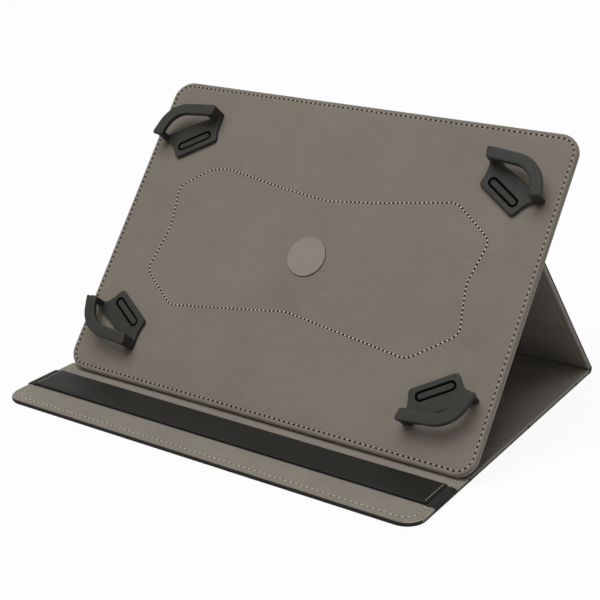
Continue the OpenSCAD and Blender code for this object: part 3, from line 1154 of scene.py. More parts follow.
def bent(piece: bpy.types.Object, bodies: tuple[Body, Body], ends: tuple[Vector, Vector],
         slot: Slot, *nodes: str) -> None:
    """Bake a piece that spans two bodies into place, where it follows neither.

    Args:
        piece: The piece.
        bodies: The bodies on both sides of it, which only the log names.
        ends: Where each body's hold ends; not used.
        slot: Material slot of the part; not used.
        nodes: Nodes of the part that it stands for.
    """
    if nodes:
        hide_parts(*nodes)
    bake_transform(piece)
    LOG.info("%s bends between %s and %s", piece.name, bodies[0].value, bodies[1].value)


@dataclass(frozen=True)
class Sewing:
    """Thread and needle holes of one piece of stitching."""

    thread: bpy.types.Material
    hole: bpy.types.Material

    def sew(self, name: str, rows: Iterable[StitchRow], frame: Matrix, body: Body, slot: Slot,
            lift: Callable[[float, float], float] | None = None) -> None:
        """Make one piece of several rows of stitches.

        Args:
            name: Name of the piece.
            rows: The rows.
            frame: Their frame.
            body: Body that they ride on.
            slot: Material slot of the part.
            lift: Height of the ground at a point, if it isn't level.
        """
        shape = Shape()
        for row in rows:
            row.add_to(shape, lift)
        placed(shape.piece(name, frame, [self.thread, self.hole], ALL_SMOOTH), body, slot)


# ---- The cover ----


@dataclass
class Cover:
    """Leather and lining of the cover that lies open, cut at its creases."""

    sizes: Sizes
    finishes: Finishes
    lining_inset: float = 0.55 * MM
    side_inset: float = 0.35 * MM
    side_cut: float = 0.7 * MM
    side_z: float = 0.8 * MM
    skin_rims: tuple[float, float] = (0.55 * MM, 0.25 * MM)
    lining_rims: tuple[float, float] = (0.02 * MM, 0.5 * MM)
    seam_w: float = 0.9 * MM
    lining_seam: float = 0.22 * MM
    skin_seam: float = 0.18 * MM
    hinge: float = 3.4 * MM
    hinge_cuts: int = 6
    pinch_share: float = 0.62
    suede_dip: float = 0.45 * MM
    suede_in: float = 0.6 * MM
    skin_dip: float = 0.6 * MM
    skin_lift: float = 0.3 * MM
    rim_w: float = 1.6 * MM
    rim_out: float = 0.12 * MM
    rim_lift: float = 0.2 * MM
    stitch_in: float = 4.6 * MM
    stitch_turn: float = 1.5 * MM
    leather: Shape = field(init=False)
    lining: Shape = field(init=False)

    def __post_init__(self) -> None:
        """Build the leather and the lining in one length each."""
        s = self.sizes
        self.leather = self._length(0, s.lining_z, (0.0, 0.0), self.skin_rims)
        rebate = Shape()
        low, high = self.side_z, s.lining_z + 0.01 * MM
        y0, y1 = s.free_y + s.corner_r * 0.45, s.fold_y + MM
        for side in (-1, 1):
            x0, x1 = sorted((side * (s.cover_w / 2 - self.side_cut), side * (s.cover_w / 2 + MM)))
            rebate.slab((x0, y0, low), (x1, y1, high))
        self.leather = carve(self.leather, rebate, "DIFFERENCE")
        self.lining = self._length(
            self.side_z, s.cover_t, (self.side_inset, self.lining_inset), self.lining_rims)
        seam_in = self.stitch_in - self.lining_inset - self.lining_rims[1] - self.seam_w
        self.lining.groove(s.cover_t, ((seam_in, 0), (self.seam_w, self.lining_seam), (self.seam_w, 0)))
        self.leather.groove(0, ((seam_in, 0), (self.seam_w, -self.skin_seam), (self.seam_w, 0)))
        self.lining.tag_rolled_edge()

    def _length(self, z0: float, z1: float, inset: tuple[float, float], rims: tuple[float, float]) -> Shape:
        """Make one layer of the whole cover, with round corners at its free edge.

        Args:
            z0: Height of its underside.
            z1: Height of its face.
            inset: How far it stops short of the sides and of the free edge.
            rims: Radius of its lower and of its upper rim.

        Returns:
            The layer.
        """
        s = self.sizes
        x, y0 = s.cover_w / 2 - inset[0], s.free_y + inset[1]
        shape = Shape().slab((-x, y0, z0), (x, s.fold_y, z1))
        shape.round_corners(y0, s.corner_r - inset[1])
        return shape.round_rim(z1, rims[1]).round_rim(z0, rims[0])

    def build(self) -> None:
        """Make the panels, the creases between them and their stitching."""
        s, f = self.sizes, self.finishes
        panels = (
            (Body.FRONT, "front", s.free_y - MM, s.crease_1 - self.hinge),
            (Body.MIDDLE, "middle", s.crease_1 + self.hinge, s.crease_2 - self.hinge),
            (Body.REAR, "rear", s.crease_2 + self.hinge, s.spine_y - self.hinge),
            (Body.SPINE, "spine", s.spine_y + self.hinge, s.fold_y),
        )
        for body, name, y0, y1 in panels:
            leather = self.leather.between(y0, y1).piece(f"{name}_leather", IN_PLACE, [f.leather])
            placed(leather, body, Slot.LEATHER, f"{name}_skin", f"{name}_board")
            lining = self.lining.between(y0, y1).piece(f"{name}_suede", IN_PLACE, f.lining)
            placed(lining, body, Slot.SUEDE, f"{name}_lining")
            self._sew_panel(body, name, y0, y1)
        self._crease("crease_front", s.crease_1, (Body.MIDDLE, Body.FRONT), -1)
        self._crease("crease_rear", s.crease_2, (Body.MIDDLE, Body.REAR), 1)
        self._crease("crease_spine", s.spine_y, (Body.REAR, Body.SPINE), 1)

    def _crease(self, name: str, y: float, bodies: tuple[Body, Body], way: int) -> None:
        """Make the soft strip of leather and lining at one crease.

        Args:
            name: Start of the pieces' names.
            y: Place of the crease.
            bodies: The panels on both sides.
            way: 1 where the second panel lies behind the first, otherwise -1.
        """
        cuts = self.hinge_cuts
        steps = [y + self.hinge * k / cuts for k in range(-cuts, cuts + 1)]
        ends = (Vector((0, y - way * self.hinge, 0)), Vector((0, y + way * self.hinge, 0)))
        for slot, shape, materials in (
                (Slot.LEATHER, self.leather, [self.finishes.leather]),
                (Slot.SUEDE, self.lining, self.finishes.lining)):
            strip = shape.between(steps[0], steps[-1]).sliced(Vector((0, 1, 0)), steps[1:-1])
            for v in strip.bm.verts:
                near = max(0.0, 1 - abs(v.co.y - y) / (self.hinge * self.pinch_share)) ** 1.5
                v.co += self._pinch(v.co, slot) * near
            made = strip.piece(f"{name}_{slot.value}", IN_PLACE, materials, FOLD_SMOOTH)
            bent(made, bodies, ends, slot)

    def _pinch(self, at: Vector, slot: Slot) -> Vector:
        """How far a layer is pressed in at the middle of a crease.

        Args:
            at: Place on the layer.
            slot: Whether it is leather or suede.

        Returns:
            The way that the place moves.
        """
        side = math.copysign(1.0, at.x)
        at_rim = abs(at.x) > self.sizes.cover_w / 2 - self.rim_w
        if slot is Slot.SUEDE:
            return Vector((-side * self.suede_in * at_rim, 0, -self.suede_dip))
        if at.z > self.side_z + 0.2 * MM:
            return Vector((0, 0, -self.skin_dip))
        if at_rim:
            return Vector((side * self.rim_out, 0, self.rim_lift * (at.z > 0.5 * MM)))
        return Vector((0, 0, self.skin_lift))

    def _sew_panel(self, body: Body, name: str, y0: float, y1: float) -> None:
        """Sew one panel's edges, inside in light thread and outside in black.

        Args:
            body: The panel.
            name: Start of the pieces' names.
            y0: Its nearer end.
            y1: Its farther end.
        """
        s, f = self.sizes, self.finishes
        x = s.cover_w / 2 - self.stitch_in
        if body is Body.FRONT:
            r = s.corner_r - self.stitch_in + self.stitch_turn
            y = s.free_y + self.stitch_in + r
            sides = [[
                Vector((-x, y1, 0)), *arc(Vector((-x + r, y, 0)), r, 180, 270),
                *arc(Vector((x - r, y, 0)), r, 270, 360), Vector((x, y1, 0))]]
        else:
            sides = [[Vector((side, y0, 0)), Vector((side, y1, 0))] for side in (-x, x)]
        inside = [StitchRow(p, s.cover_t - 0.16 * MM) for p in sides]
        outside = [StitchRow(p, 0.14 * MM, outside=True) for p in sides]
        thread = f.thread if body is Body.FRONT else f.taupe_thread
        Sewing(thread, f.soft_hole).sew(f"{name}_stitches", inside, IN_PLACE, body, Slot.SUEDE)
        Sewing(f.dark_thread, f.needle_hole).sew(
            f"{name}_stitches_outside", outside, IN_PLACE, body, Slot.LEATHER)


# ---- The leg and the top panel ----


@dataclass
class Stand:
    """Leg and top panel, with the fold at the spine and the stand crease."""

    sizes: Sizes
    frames: Frames
    finishes: Finishes
    lining_inset: float = 0.35 * MM
    notch_margin: float = 0.7 * MM
    side_z: float = 0.7 * MM
    crease_gap: float = 0.05 * MM
    fold_gap: float = 0.3 * MM
    bend_r: float = 0.15 * MM
    neck_margin: float = 1.4 * MM
    lining_low: float = 1.95 * MM
    skin_high: float = 2.0 * MM
    skin_rims: tuple[float, float] = (0.4 * MM, 0.2 * MM)
    leg_rims: tuple[float, float] = (0.02 * MM, 0.9 * MM)
    top_rims: tuple[float, float] = (0.02 * MM, 0.5 * MM)
    stitch_in: float = 4.6 * MM
    stitch_turn: float = 1.5 * MM
    stitch_end: float = 2 * MM
    round_sides: int = 96

    def build(self) -> None:
        """Make both panels, both folds and the stitching."""
        self._leg()
        self._top()
        self._fold()
        self._stand_crease()
        self._sew()

    def _leg(self) -> None:
        """Make the leg's leather and lining."""
        s, f, frame = self.sizes, self.finishes, self.frames.leg
        x = s.cover_w / 2
        leather = Shape().slab((-x, 0, 0), (x, s.leg_l - self.crease_gap, self.side_z))
        leather = self._notched(leather, s.notch_r)
        self._round_rims(leather, (0.0, self.side_z), self.skin_rims, s.leg_l)
        leather = leather.piece("leg_leather", frame, [f.leather])
        placed(leather, Body.LEG, Slot.LEATHER, "leg_skin", "leg_board")
        x -= self.lining_inset
        lining = Shape().slab((-x, self.fold_gap, self.side_z), (x, s.leg_l, s.cover_t))
        lining = self._notched(lining, s.notch_r + self.notch_margin)
        self._round_rims(lining, (self.side_z, s.cover_t), self.leg_rims, s.leg_l)
        lining.tag_rolled_edge(0.96, 0.2)
        placed(lining.piece("leg_suede", frame, f.lining), Body.LEG, Slot.SUEDE, "leg_lining")

    def _notched(self, shape: Shape, radius: float) -> Shape:
        """Cut the round notch for the swivel's tab.

        Args:
            shape: A layer of the leg.
            radius: Radius of the notch.

        Returns:
            The layer with its notch.
        """
        s = self.sizes
        middle = (s.plate_x, s.leg_l + self.frames.swivel_y)
        tool = Shape().cylinder(radius, -2 * MM, s.cover_t + 2 * MM, middle, self.round_sides)
        return carve(shape, tool, "DIFFERENCE")

    @staticmethod
    def _round_rims(shape: Shape, heights: Sequence[float], radii: Sequence[float], crease: float) -> None:
        """Round a layer's edges off, except at the creases, where it goes on.

        Args:
            shape: The layer.
            heights: Heights of its two faces.
            radii: Radius of the rim round each face.
            crease: Place of the crease along y, besides the one at 0.
        """
        near = 0.4 * MM
        for z, radius in zip(heights, radii):
            rim = shape.edges(lambda e: all(abs(v.co.z - z) < TOUCH for v in e.verts))
            for y in (0, crease):
                rim = [e for e in rim if not all(abs(v.co.y - y) < near for v in e.verts)]
            shape.bevel(rim, radius, 2)

    def _top(self) -> None:
        """Make the top panel's leather and lining."""
        s, f, frame = self.sizes, self.finishes, self.frames.top
        leather = self._outline(0, 0, self.side_z)
        self._round_rims(leather, (0.0, self.side_z), self.skin_rims, 0.0)
        leather = leather.piece("top_leather", frame, [f.leather])
        placed(leather, Body.PLATE, Slot.LEATHER, "top_skin", "top_board")
        lining = self._outline(self.lining_inset, self.side_z, s.cover_t)
        self._round_rims(lining, (self.side_z, s.cover_t), self.top_rims, 0.0)
        lining.tag_rolled_edge()
        placed(lining.piece("top_suede", frame, f.lining), Body.PLATE, Slot.SUEDE, "top_lining")

    def _outline(self, inset: float, z0: float, z1: float) -> Shape:
        """Make a layer of the top panel with its round tab.

        Args:
            inset: How far it stops short of the panel's outline.
            z0: Height of its underside.
            z1: Height of its face.

        Returns:
            The layer.
        """
        s = self.sizes
        x, y = s.cover_w / 2 - inset, s.top_l - inset
        strip = Shape().slab((-x, self.crease_gap, z0), (x, y, z1)).round_corners(y, s.corner_r - inset)
        middle = (s.plate_x, self.frames.swivel_y)
        return carve(strip, Shape().cylinder(s.tab_r - inset, z0, z1, middle, self.round_sides), "UNION")

    def _fold(self) -> None:
        """Make the leather that bends round the outside of the spine's fold."""
        s, fr = self.sizes, self.frames
        x = s.cover_w / 2
        shape = Shape().spin(fr.fold, -math.pi / 2, fr.leg_a, self.bend_r, s.cover_t, -x, x, 16)
        made = shape.piece("spine_fold", IN_PLACE, [self.finishes.leather], FOLD_SMOOTH)
        reach = Vector((0, math.cos(fr.leg_a - math.pi / 2), math.sin(fr.leg_a - math.pi / 2))) * s.cover_t
        ends = (fr.fold - Vector((0, 0, s.cover_t)), fr.fold + reach)
        bent(made, (Body.SPINE, Body.LEG), ends, Slot.LEATHER, "spine_fold_leather")

    def _stand_crease(self) -> None:
        """Make the lining and leather that span the stand crease beside the tab."""
        s, fr, f = self.sizes, self.frames, self.finishes
        neck = math.sqrt(s.notch_r**2 - fr.swivel_y**2) + self.neck_margin
        start, sweep = math.pi / 2 + fr.tilt, fr.leg_a - fr.tilt
        for slot, inner, outer, inset, finish, nodes in (
                (Slot.SUEDE, self.lining_low, s.cover_t, self.lining_inset, f.suede, ["crease_fold_lining"]),
                (Slot.LEATHER, self.bend_r, self.skin_high, 0, f.leather, [])):
            x = s.cover_w / 2 - inset
            shape = Shape()
            for x0, x1 in ((-x, s.plate_x - neck), (s.plate_x + neck, x)):
                shape.spin(fr.crease, start, sweep, inner, outer, x0, x1, 12)
            made = shape.piece(f"stand_crease_{slot.value}", IN_PLACE, [finish], FOLD_SMOOTH)
            ends = [fr.crease + Vector((0, math.cos(a), math.sin(a))) * outer for a in (start + sweep, start)]
            bent(made, (Body.LEG, Body.PLATE), (ends[0], ends[1]), slot, *nodes)

    def _sew(self) -> None:
        """Sew the edges of both panels."""
        s, fr, f = self.sizes, self.frames, self.finishes
        x, y = s.cover_w / 2 - self.stitch_in, s.top_l - self.stitch_in
        low = self.stitch_end
        sides = [[Vector((side, low, 0)), Vector((side, s.leg_l - low, 0))] for side in (-x, x)]
        r = s.corner_r - self.stitch_in + self.stitch_turn
        top = [Vector((x, low, 0)), *arc(Vector((x - r, y - r, 0)), r, 0, 90),
               *arc(Vector((-x + r, y - r, 0)), r, 90, 180), Vector((-x, low, 0))]
        reach = s.tab_r - self.stitch_in
        first = math.degrees(math.asin((low - fr.swivel_y) / reach))
        tab = arc(Vector((s.plate_x, fr.swivel_y, 0)), reach, first, -180 - first, 48)
        inside, outside = Sewing(f.taupe_thread, f.soft_hole), Sewing(f.dark_thread, f.needle_hole)
        for name, paths, frame, body in (
                ("leg", sides, fr.leg, Body.LEG), ("top", [top, tab], fr.top, Body.PLATE)):
            rows = [StitchRow(p, s.cover_t - 0.1 * MM) for p in paths]
            inside.sew(f"{name}_stitches", rows, frame, body, Slot.SUEDE)
            rows = [StitchRow(p, 0.1 * MM, outside=True) for p in paths]
            outside.sew(f"{name}_stitches_outside", rows, frame, body, Slot.LEATHER)


# ---- The plate ----


@dataclass
class Plate:
    """Padded plate in suede, with its sewn outlines and the swivel's disc.

    The pad sits a little to the right of the part's solid. The outline on its
    face is given in millimetres.
    """

    sizes: Sizes
    frames: Frames
    finishes: Finishes
    side_shift: float = 1.35 * MM
    front_r: float = 1.4 * MM
    edge_stitch_in: tuple[float, float] = (2.3 * MM, 2.85 * MM)
    groove_w: float = 0.8 * MM
    groove_out: float = 1.0 * MM
    groove_depth: float = 0.2 * MM
    crown: float = 0.25 * MM
    dents: float = 0.06 * MM
    dent_scale: float = 40
    grid: float = 8 * MM
    edge_band: tuple[float, float] = (0.12, 0.78)
    cap_rise: float = 0.45 * MM
    cap_edge_r: float = 0.4 * MM
    cap_gap: float = 0.12 * MM
    gap_shift: tuple[float, float] = (0.28 * MM, -0.2 * MM)
    outline: Points = (
        (77, 46.6), (30, 38.0), (0, 34.3), (-30, 36.9), (-72, 42.9), (-83.5, 40.3), (-100.6, 26.5),
        (-95.8, 2), (-100.2, -27.8), (-76, -45), (0, -33.2), (78.5, -43), (102.8, -24), (97.3, 3), (102, 29))

    def build(self) -> None:
        """Make the pad, the sewing and the swivel's visible parts."""
        self._pad()
        self._sew()
        self._cap()

    def _pad(self) -> None:
        """Make the crowned pad that stands for the plate's three layers."""
        s = self.sizes
        w, h, t = s.plate_w / 2, s.plate_h / 2, s.plate_t
        shape = Shape().slab((-w, -h, 0), (w, h, t))
        shape.round_corners(-h, s.plate_r).round_corners(h, s.plate_r)
        shape.round_rim(t, self.front_r, 4).round_rim(0, t / 2 - 0.05 * MM, 5)
        seam_in = sum(self.edge_stitch_in) / 2 - self.front_r - self.groove_w
        shape.groove(t, ((seam_in, 0), (self.groove_w, self.groove_depth), (self.groove_out, 0)))
        shape.groove(0, ((0.3 * MM, 0), (self.groove_w, -self.groove_depth), (self.groove_out, 0)))
        for axis, reach in ((Vector((1, 0, 0)), w), (Vector((0, 1, 0)), h)):
            count = int(reach / self.grid)
            shape.sliced(axis, [k * self.grid for k in range(-count, count + 1)])
        for v in shape.bm.verts:
            if v.co.z > t - 0.3 * MM:
                inward = min(1.0, 4 * self._share(v.co.x, v.co.y))
                dent = self.dents * inward * noise.noise(v.co * self.dent_scale)
                v.co.z += self._lift(v.co.x, v.co.y) + dent
        # Faces round the pad's side take the lighter suede, a painted highlight on its rounded edge
        low, high = (share * t for share in self.edge_band)
        shape.tag_faces(lambda f: low < f.calc_center_median().z < high and abs(f.normal.z) < 0.85)
        frame = self.frames.plate @ Matrix.Translation((self.side_shift, 0, 0))
        finishes = [self.finishes.plate_suede, self.finishes.suede_edge]
        pad = shape.piece("plate_pad", frame, finishes, ALL_SMOOTH)
        placed(pad, Body.PLATE, Slot.SUEDE, "plate_face", "plate_core", "plate_back")

    def _share(self, x: float, y: float) -> float:
        """How far in from the plate's sides a point lies: 1 in the middle, 0 at the edge."""
        s = self.sizes
        return max(0.0, 1 - (2 * x / s.plate_w) ** 2) * max(0.0, 1 - (2 * y / s.plate_h) ** 2)

    def _lift(self, x: float, y: float) -> float:
        """How far the pad's face is crowned at a point."""
        return self.crown * math.sqrt(self._share(x, y))

    def _sew(self) -> None:
        """Sew the plate's edge and the outline on its face."""
        s, f = self.sizes, self.finishes
        side_in, end_in = self.edge_stitch_in
        aside = Vector((self.side_shift + 0.15 * MM, 0, 0))
        edge = rounded_path(s.plate_w - 2 * side_in, s.plate_h - 2 * end_in, s.plate_r - end_in)
        edge = [p + aside for p in edge]
        row = StitchRow(
            edge, s.plate_t - 0.1 * MM, width=0.8 * MM, thread_share=0.54, hole_l=0.74 * MM, hole_r=0.6 * MM)
        Sewing(f.taupe_thread, f.needle_hole).sew(
            "plate_edge_stitches", [row], self.frames.plate, Body.PLATE, Slot.SUEDE, self._lift)
        inner = eased(scaled(self.outline), 5 * MM)
        row = StitchRow(
            [*inner, inner[0]], s.plate_t, pitch=2.6 * MM, width=0.95 * MM, thread_share=0.54,
            hole_l=0.7 * MM, hole_r=0.56 * MM)
        Sewing(f.thread, f.needle_hole).sew(
            "plate_face_stitches", [row], self.frames.plate, Body.PLATE, Slot.SUEDE, self._lift)

    def _cap(self) -> None:
        """Make the suede disc over the swivel and a dark ring under it, shifted down and to the right, that
        paints the disc's shadow as a crescent.
        """
        s, f, frame = self.sizes, self.finishes, self.frames.plate
        low, face = s.plate_t - 0.5 * MM, s.plate_t + self.crown
        disc = Shape().cylinder(s.cap_r, low, face + self.cap_rise)
        disc.bevel(disc.edges(lambda e: all(v.co.z > s.plate_t for v in e.verts)), self.cap_edge_r, 4)
        placed(disc.piece("swivel_disc", frame, [f.cap_suede], 2e-5), Body.PLATE, Slot.SUEDE, "swivel_cap")
        # Dark ring shifted down and to the right: a painted shadow of the disc
        ring = Shape().cylinder(s.cap_r + self.cap_gap, low, face + 0.04 * MM, self.gap_shift)
        placed(ring.piece("swivel_disc_shadow", frame, [f.shadow], 2e-5), Body.PLATE, Slot.SUEDE)


# ---- Corner clips ----


@dataclass
class CornerClip:
    """Sprung clip at one corner, with the webbing that pulls it in. Outlines are in millimetres."""

    sizes: Sizes
    frames: Frames
    finishes: Finishes
    corner: Corner
    voxel: float = 0.34 * MM
    passes: int = 10
    base_z: tuple[float, float] = (0.3 * MM, 2.6 * MM)
    base_ease: float = 2.2 * MM
    arch_z: tuple[float, float] = (9.0 * MM, 12.2 * MM)
    arch_w: float = 6.8 * MM
    arch_ease: float = 2.0 * MM
    bend_at: tuple[float, float] = (3.5 * MM, 2.57 * MM)
    bend_r: float = 16 * MM
    bend_span: tuple[float, float] = (118, 48)
    post_ease: float = 1.6 * MM
    post_below: float = 0.3 * MM
    recess_gap: float = 1.15 * MM
    recess_depth: float = 0.6 * MM
    recess_shade: tuple[float, float] = (0.6 * MM, 2.35 * MM)
    bar_inset: float = 0.2 * MM
    band_z: float = -1.7 * MM
    loop_l: float = 0.4 * MM
    arch_ends: Points = ((-22.3, 10.9), (22.8, 11.3), (15.3, 8.8), (-17.2, 5.8))
    posts: tuple[Points, ...] = (
        ((-22.3, 10.5), (-17.5, 5.4), (-13.6, 7.6), (-16.6, 13.4)),
        ((20.9, 12.9), (14.8, 10.8), (15.6, 7.0), (19.6, 8.9)))
    base: Points = (
        (-14, -6), (14, -6), (14.6, 2.6), (15.8, 6.4), (19.4, 9.6), (20.4, 12.9), (14.5, 12.4),
        (0, 11.6), (-13, 10.4), (-17, 13.0), (-22, 10.4), (-19.6, 6.6), (-17, 3), (-15.2, -1))

    def build(self) -> None:
        """Make the moulded clip, the bar of webbing and the band."""
        self._moulding()
        self._bar()
        self._band()

    def _moulding(self) -> None:
        """Mould the clip: foot, two posts and arch in one, with soft edges and a recess."""
        s, tag = self.sizes, self.corner.tag
        low, top = self.base_z
        rough = Shape().prism(eased(scaled(self.base), self.base_ease), low, top)
        rough.prism(self._arch(), *self.arch_z)
        for post in self.posts:
            rough.prism(eased(scaled(post), self.post_ease), low, self.arch_z[1] - self.post_below)
        soft = self._softened(rough.piece("rough_moulding", IN_PLACE, [self.finishes.rubber]))
        x, y = s.bar_l / 2 + self.recess_gap, s.bar_w / 2 + self.recess_gap
        recess = Shape().slab((-x, -y, s.bar_z - self.recess_depth), (x, y, self.arch_z[0]))
        recess.round_corners(-y, y * 0.97, 8).round_corners(y, y * 0.97, 8)
        soft = carve(soft, recess, "DIFFERENCE")
        # Faces of the recess's walls and floor take painted shade
        margin = 0.02 * MM
        dark_low, dark_high = self.recess_shade
        for face in soft.bm.faces:
            centre = face.calc_center_median()
            inside = abs(centre.y) < y + margin and abs(centre.x) < x + margin
            face.material_index = int(inside and dark_low < centre.z < dark_high)
        finishes = [self.finishes.rubber, self.finishes.shadow]
        made = soft.piece(f"moulding_{tag}", self.frames.clip(self.corner), finishes, 4e-6)
        placed(made, self.corner.body, Slot.RUBBER, f"clip_{tag}")

    def _softened(self, piece: bpy.types.Object) -> Shape:
        """Remesh a piece finely as one skin and smooth its edges.

        Args:
            piece: The piece, which is used up.

        Returns:
            The skin.
        """
        remesh = piece.modifiers.new("voxels", "REMESH")
        remesh.mode = "VOXEL"
        remesh.voxel_size = self.voxel
        applied(piece)
        soft = Shape()
        soft.bm.from_mesh(piece.data)
        bpy.data.objects.remove(piece)
        for _ in range(self.passes):
            bmesh.ops.smooth_vert(
                soft.bm, verts=soft.bm.verts[:], factor=0.5,
                use_axis_x=True, use_axis_y=True, use_axis_z=True)
        return soft

    def _arch(self) -> Path:
        """Draw the arch: a straight arm, a long bend and a short arm.

        Returns:
            Its outline, seen from above.
        """
        bend, half = Vector((*self.bend_at, 0)), self.arch_w / 2
        start, end = self.bend_span
        outer = [(p.x, p.y) for p in arc(bend, self.bend_r + half, start, end, 10)]
        inner = [(p.x, p.y) for p in arc(bend, self.bend_r - half, end, start, 10)]
        ends = scaled(self.arch_ends)
        return eased([ends[0], *outer, ends[1], ends[2], *inner, ends[3]], self.arch_ease)

    def _bar(self) -> None:
        """Make the loop of webbing that shows in the clip's recess."""
        s, tag = self.sizes, self.corner.tag
        z1 = s.bar_z + s.bar_t
        x, y = s.bar_l / 2 - self.bar_inset, s.bar_w / 2 - self.bar_inset
        shape = Shape().slab((-x, -y, s.bar_z), (x, y, z1))
        shape.round_corners(-y, y * 0.98, 6).round_corners(y, y * 0.98, 6)
        shape.round_rim(z1, 0.4 * MM)
        made = shape.piece(f"webbing_bar_{tag}", self.frames.clip(self.corner), [self.finishes.webbing])
        placed(made, self.corner.body, Slot.WEBBING, f"bar_{tag}")

    def _band(self) -> None:
        """Make the elastic band from its seam in the plate to the bar."""
        s, tag = self.sizes, self.corner.tag
        frame = self.frames.clip(self.corner)
        x, z = s.band_w / 2, self.band_z
        shape = Shape().slab((-x, -s.anchor_y, z), (x, self.loop_l, z + s.elastic_t))
        shape.sliced(Vector((0, 1, 0)), [-s.anchor_y * k / 8 for k in range(1, 8)])
        shape.slab((-x, -self.loop_l, z), (x, self.loop_l, s.bar_z))
        made = shape.piece(f"elastic_band_{tag}", frame, [self.finishes.webbing])
        ends = (frame @ Vector((0, -s.anchor_y, 0)), frame @ Vector((0, -MM, 0)))
        bent(made, (Body.PLATE, self.corner.body), ends, Slot.WEBBING, f"band_{tag}")


# ---- The closing strap ----


@dataclass
class Strap:
    """Strap across the front panel with its ribbed elastic ends.

    Its pressed border is given in millimetres, as steps in and down.
    """

    sizes: Sizes
    finishes: Finishes
    rim_r: float = 0.5 * MM
    pressed: Points = ((0.5, -0.03), (0.5, 0.07), (0.7, -0.05))
    seam_in: tuple[float, float] = (1.3 * MM, 1.2 * MM)
    hold: float = 0.6 * MM
    over_edge: float = 0.5 * MM
    under_z: float = 0.4 * MM
    under_l: float = 14 * MM

    def build(self) -> None:
        """Make the strap, its stitching and both elastic ends."""
        s, f = self.sizes, self.finishes
        x, y = s.strap_l / 2, s.strap_w / 2
        z0, z1 = s.strap_z, s.strap_z + s.strap_t
        shape = Shape().slab((-x, s.strap_y - y, z0), (x, s.strap_y + y, z1))
        shape.round_rim(z1, self.rim_r).round_rim(z0, self.rim_r)
        shape.groove(z1, scaled(self.pressed))
        placed(shape.piece("strap_band", IN_PLACE, [f.strap]), Body.STRAP, Slot.LEATHER, "strap")
        x, y = x - self.seam_in[0], y - self.seam_in[1]
        rows = [
            StitchRow([Vector((side, s.strap_y - y, 0)), Vector((side, s.strap_y + y, 0))], z1 - 0.03 * MM,
                      pitch=1.9 * MM, width=0.42 * MM, hole_l=0.25 * MM, hole_r=0.25 * MM)
            for side in (-x, x)]
        Sewing(f.thread, f.shadow).sew("strap_stitches", rows, IN_PLACE, Body.STRAP, Slot.LEATHER)
        for side, name in ((-1, "left"), (1, "right")):
            self._elastic(side, name)

    def _elastic(self, side: int, name: str) -> None:
        """Make one elastic end, over the cover's edge and in under the leather.

        Args:
            side: Sign of its side.
            name: Name of its side.
        """
        s = self.sizes
        t, half = s.elastic_t, s.strap_l / 2
        out = s.cover_w / 2 + self.over_edge
        top, low = s.strap_z + t * 0.75, self.under_z
        route = (
            (half - self.hold, top), (out - 2.2 * MM, top), (out - 0.5 * MM, top - 0.4 * MM),
            (out, top - 1.3 * MM), (out, low + 0.9 * MM), (out - 0.6 * MM, low + 0.15 * MM),
            (out - 1.6 * MM, low), (s.cover_w / 2 - self.under_l, low))
        shape = Shape()
        chain = [shape.bm.verts.new((side * x, s.strap_y - s.strap_w / 2, z)) for x, z in route]
        edges = [shape.bm.edges.new(pair) for pair in zip(chain[:-1], chain[1:])]
        swept = bmesh.ops.extrude_edge_only(shape.bm, edges=edges)
        bmesh.ops.translate(shape.bm, vec=(0, s.strap_w, 0), verts=vertices(swept))
        bmesh.ops.recalc_face_normals(shape.bm, faces=shape.bm.faces[:])
        bmesh.ops.solidify(shape.bm, geom=shape.bm.faces[:], thickness=t * 0.5)
        made = shape.piece(f"elastic_{name}", IN_PLACE, [self.finishes.elastic], 4e-5)
        ends = (Vector((side * (out - 0.5 * MM), s.strap_y, 0)), Vector((side * half, s.strap_y, 0)))
        bent(made, (Body.FRONT, Body.STRAP), ends, Slot.ELASTIC, f"strap_elastic_{name}")


# ---- Solids that stay ----


@dataclass
class KeptSolids:
    """Solids of the swivel that stay as they are and get their finish."""

    nodes: Mapping[str, bpy.types.Object]
    finishes: Finishes

    def build(self) -> None:
        """Give each its material."""
        f = self.finishes
        for name, finish in (
                ("swivel_base", f.plastic), ("swivel_keeper", f.steel), ("swivel_rivet", f.steel)):
            materials = self.nodes[name].data.materials
            materials.clear()
            materials.append(finish)
            LOG.info("%s stays a solid, in %s", name, finish.name)


# ---- Studio ----


@dataclass(frozen=True)
class Lamp:
    """Soft square lamp."""

    name: str
    place: tuple[float, float, float]
    aim: tuple[float, float, float]
    size: float
    power: float

    def build(self) -> None:
        """Hang the lamp."""
        data = bpy.data.lights.new(self.name, "AREA")
        data.shape = "SQUARE"
        data.size = self.size
        data.energy = self.power
        lamp = bpy.data.objects.new(self.name, data)
        turn = (Vector(self.aim) - Vector(self.place)).to_track_quat("-Z", "Y")
        lamp.matrix_world = Matrix.Translation(self.place) @ turn.to_matrix().to_4x4()
        bpy.context.scene.collection.objects.link(lamp)


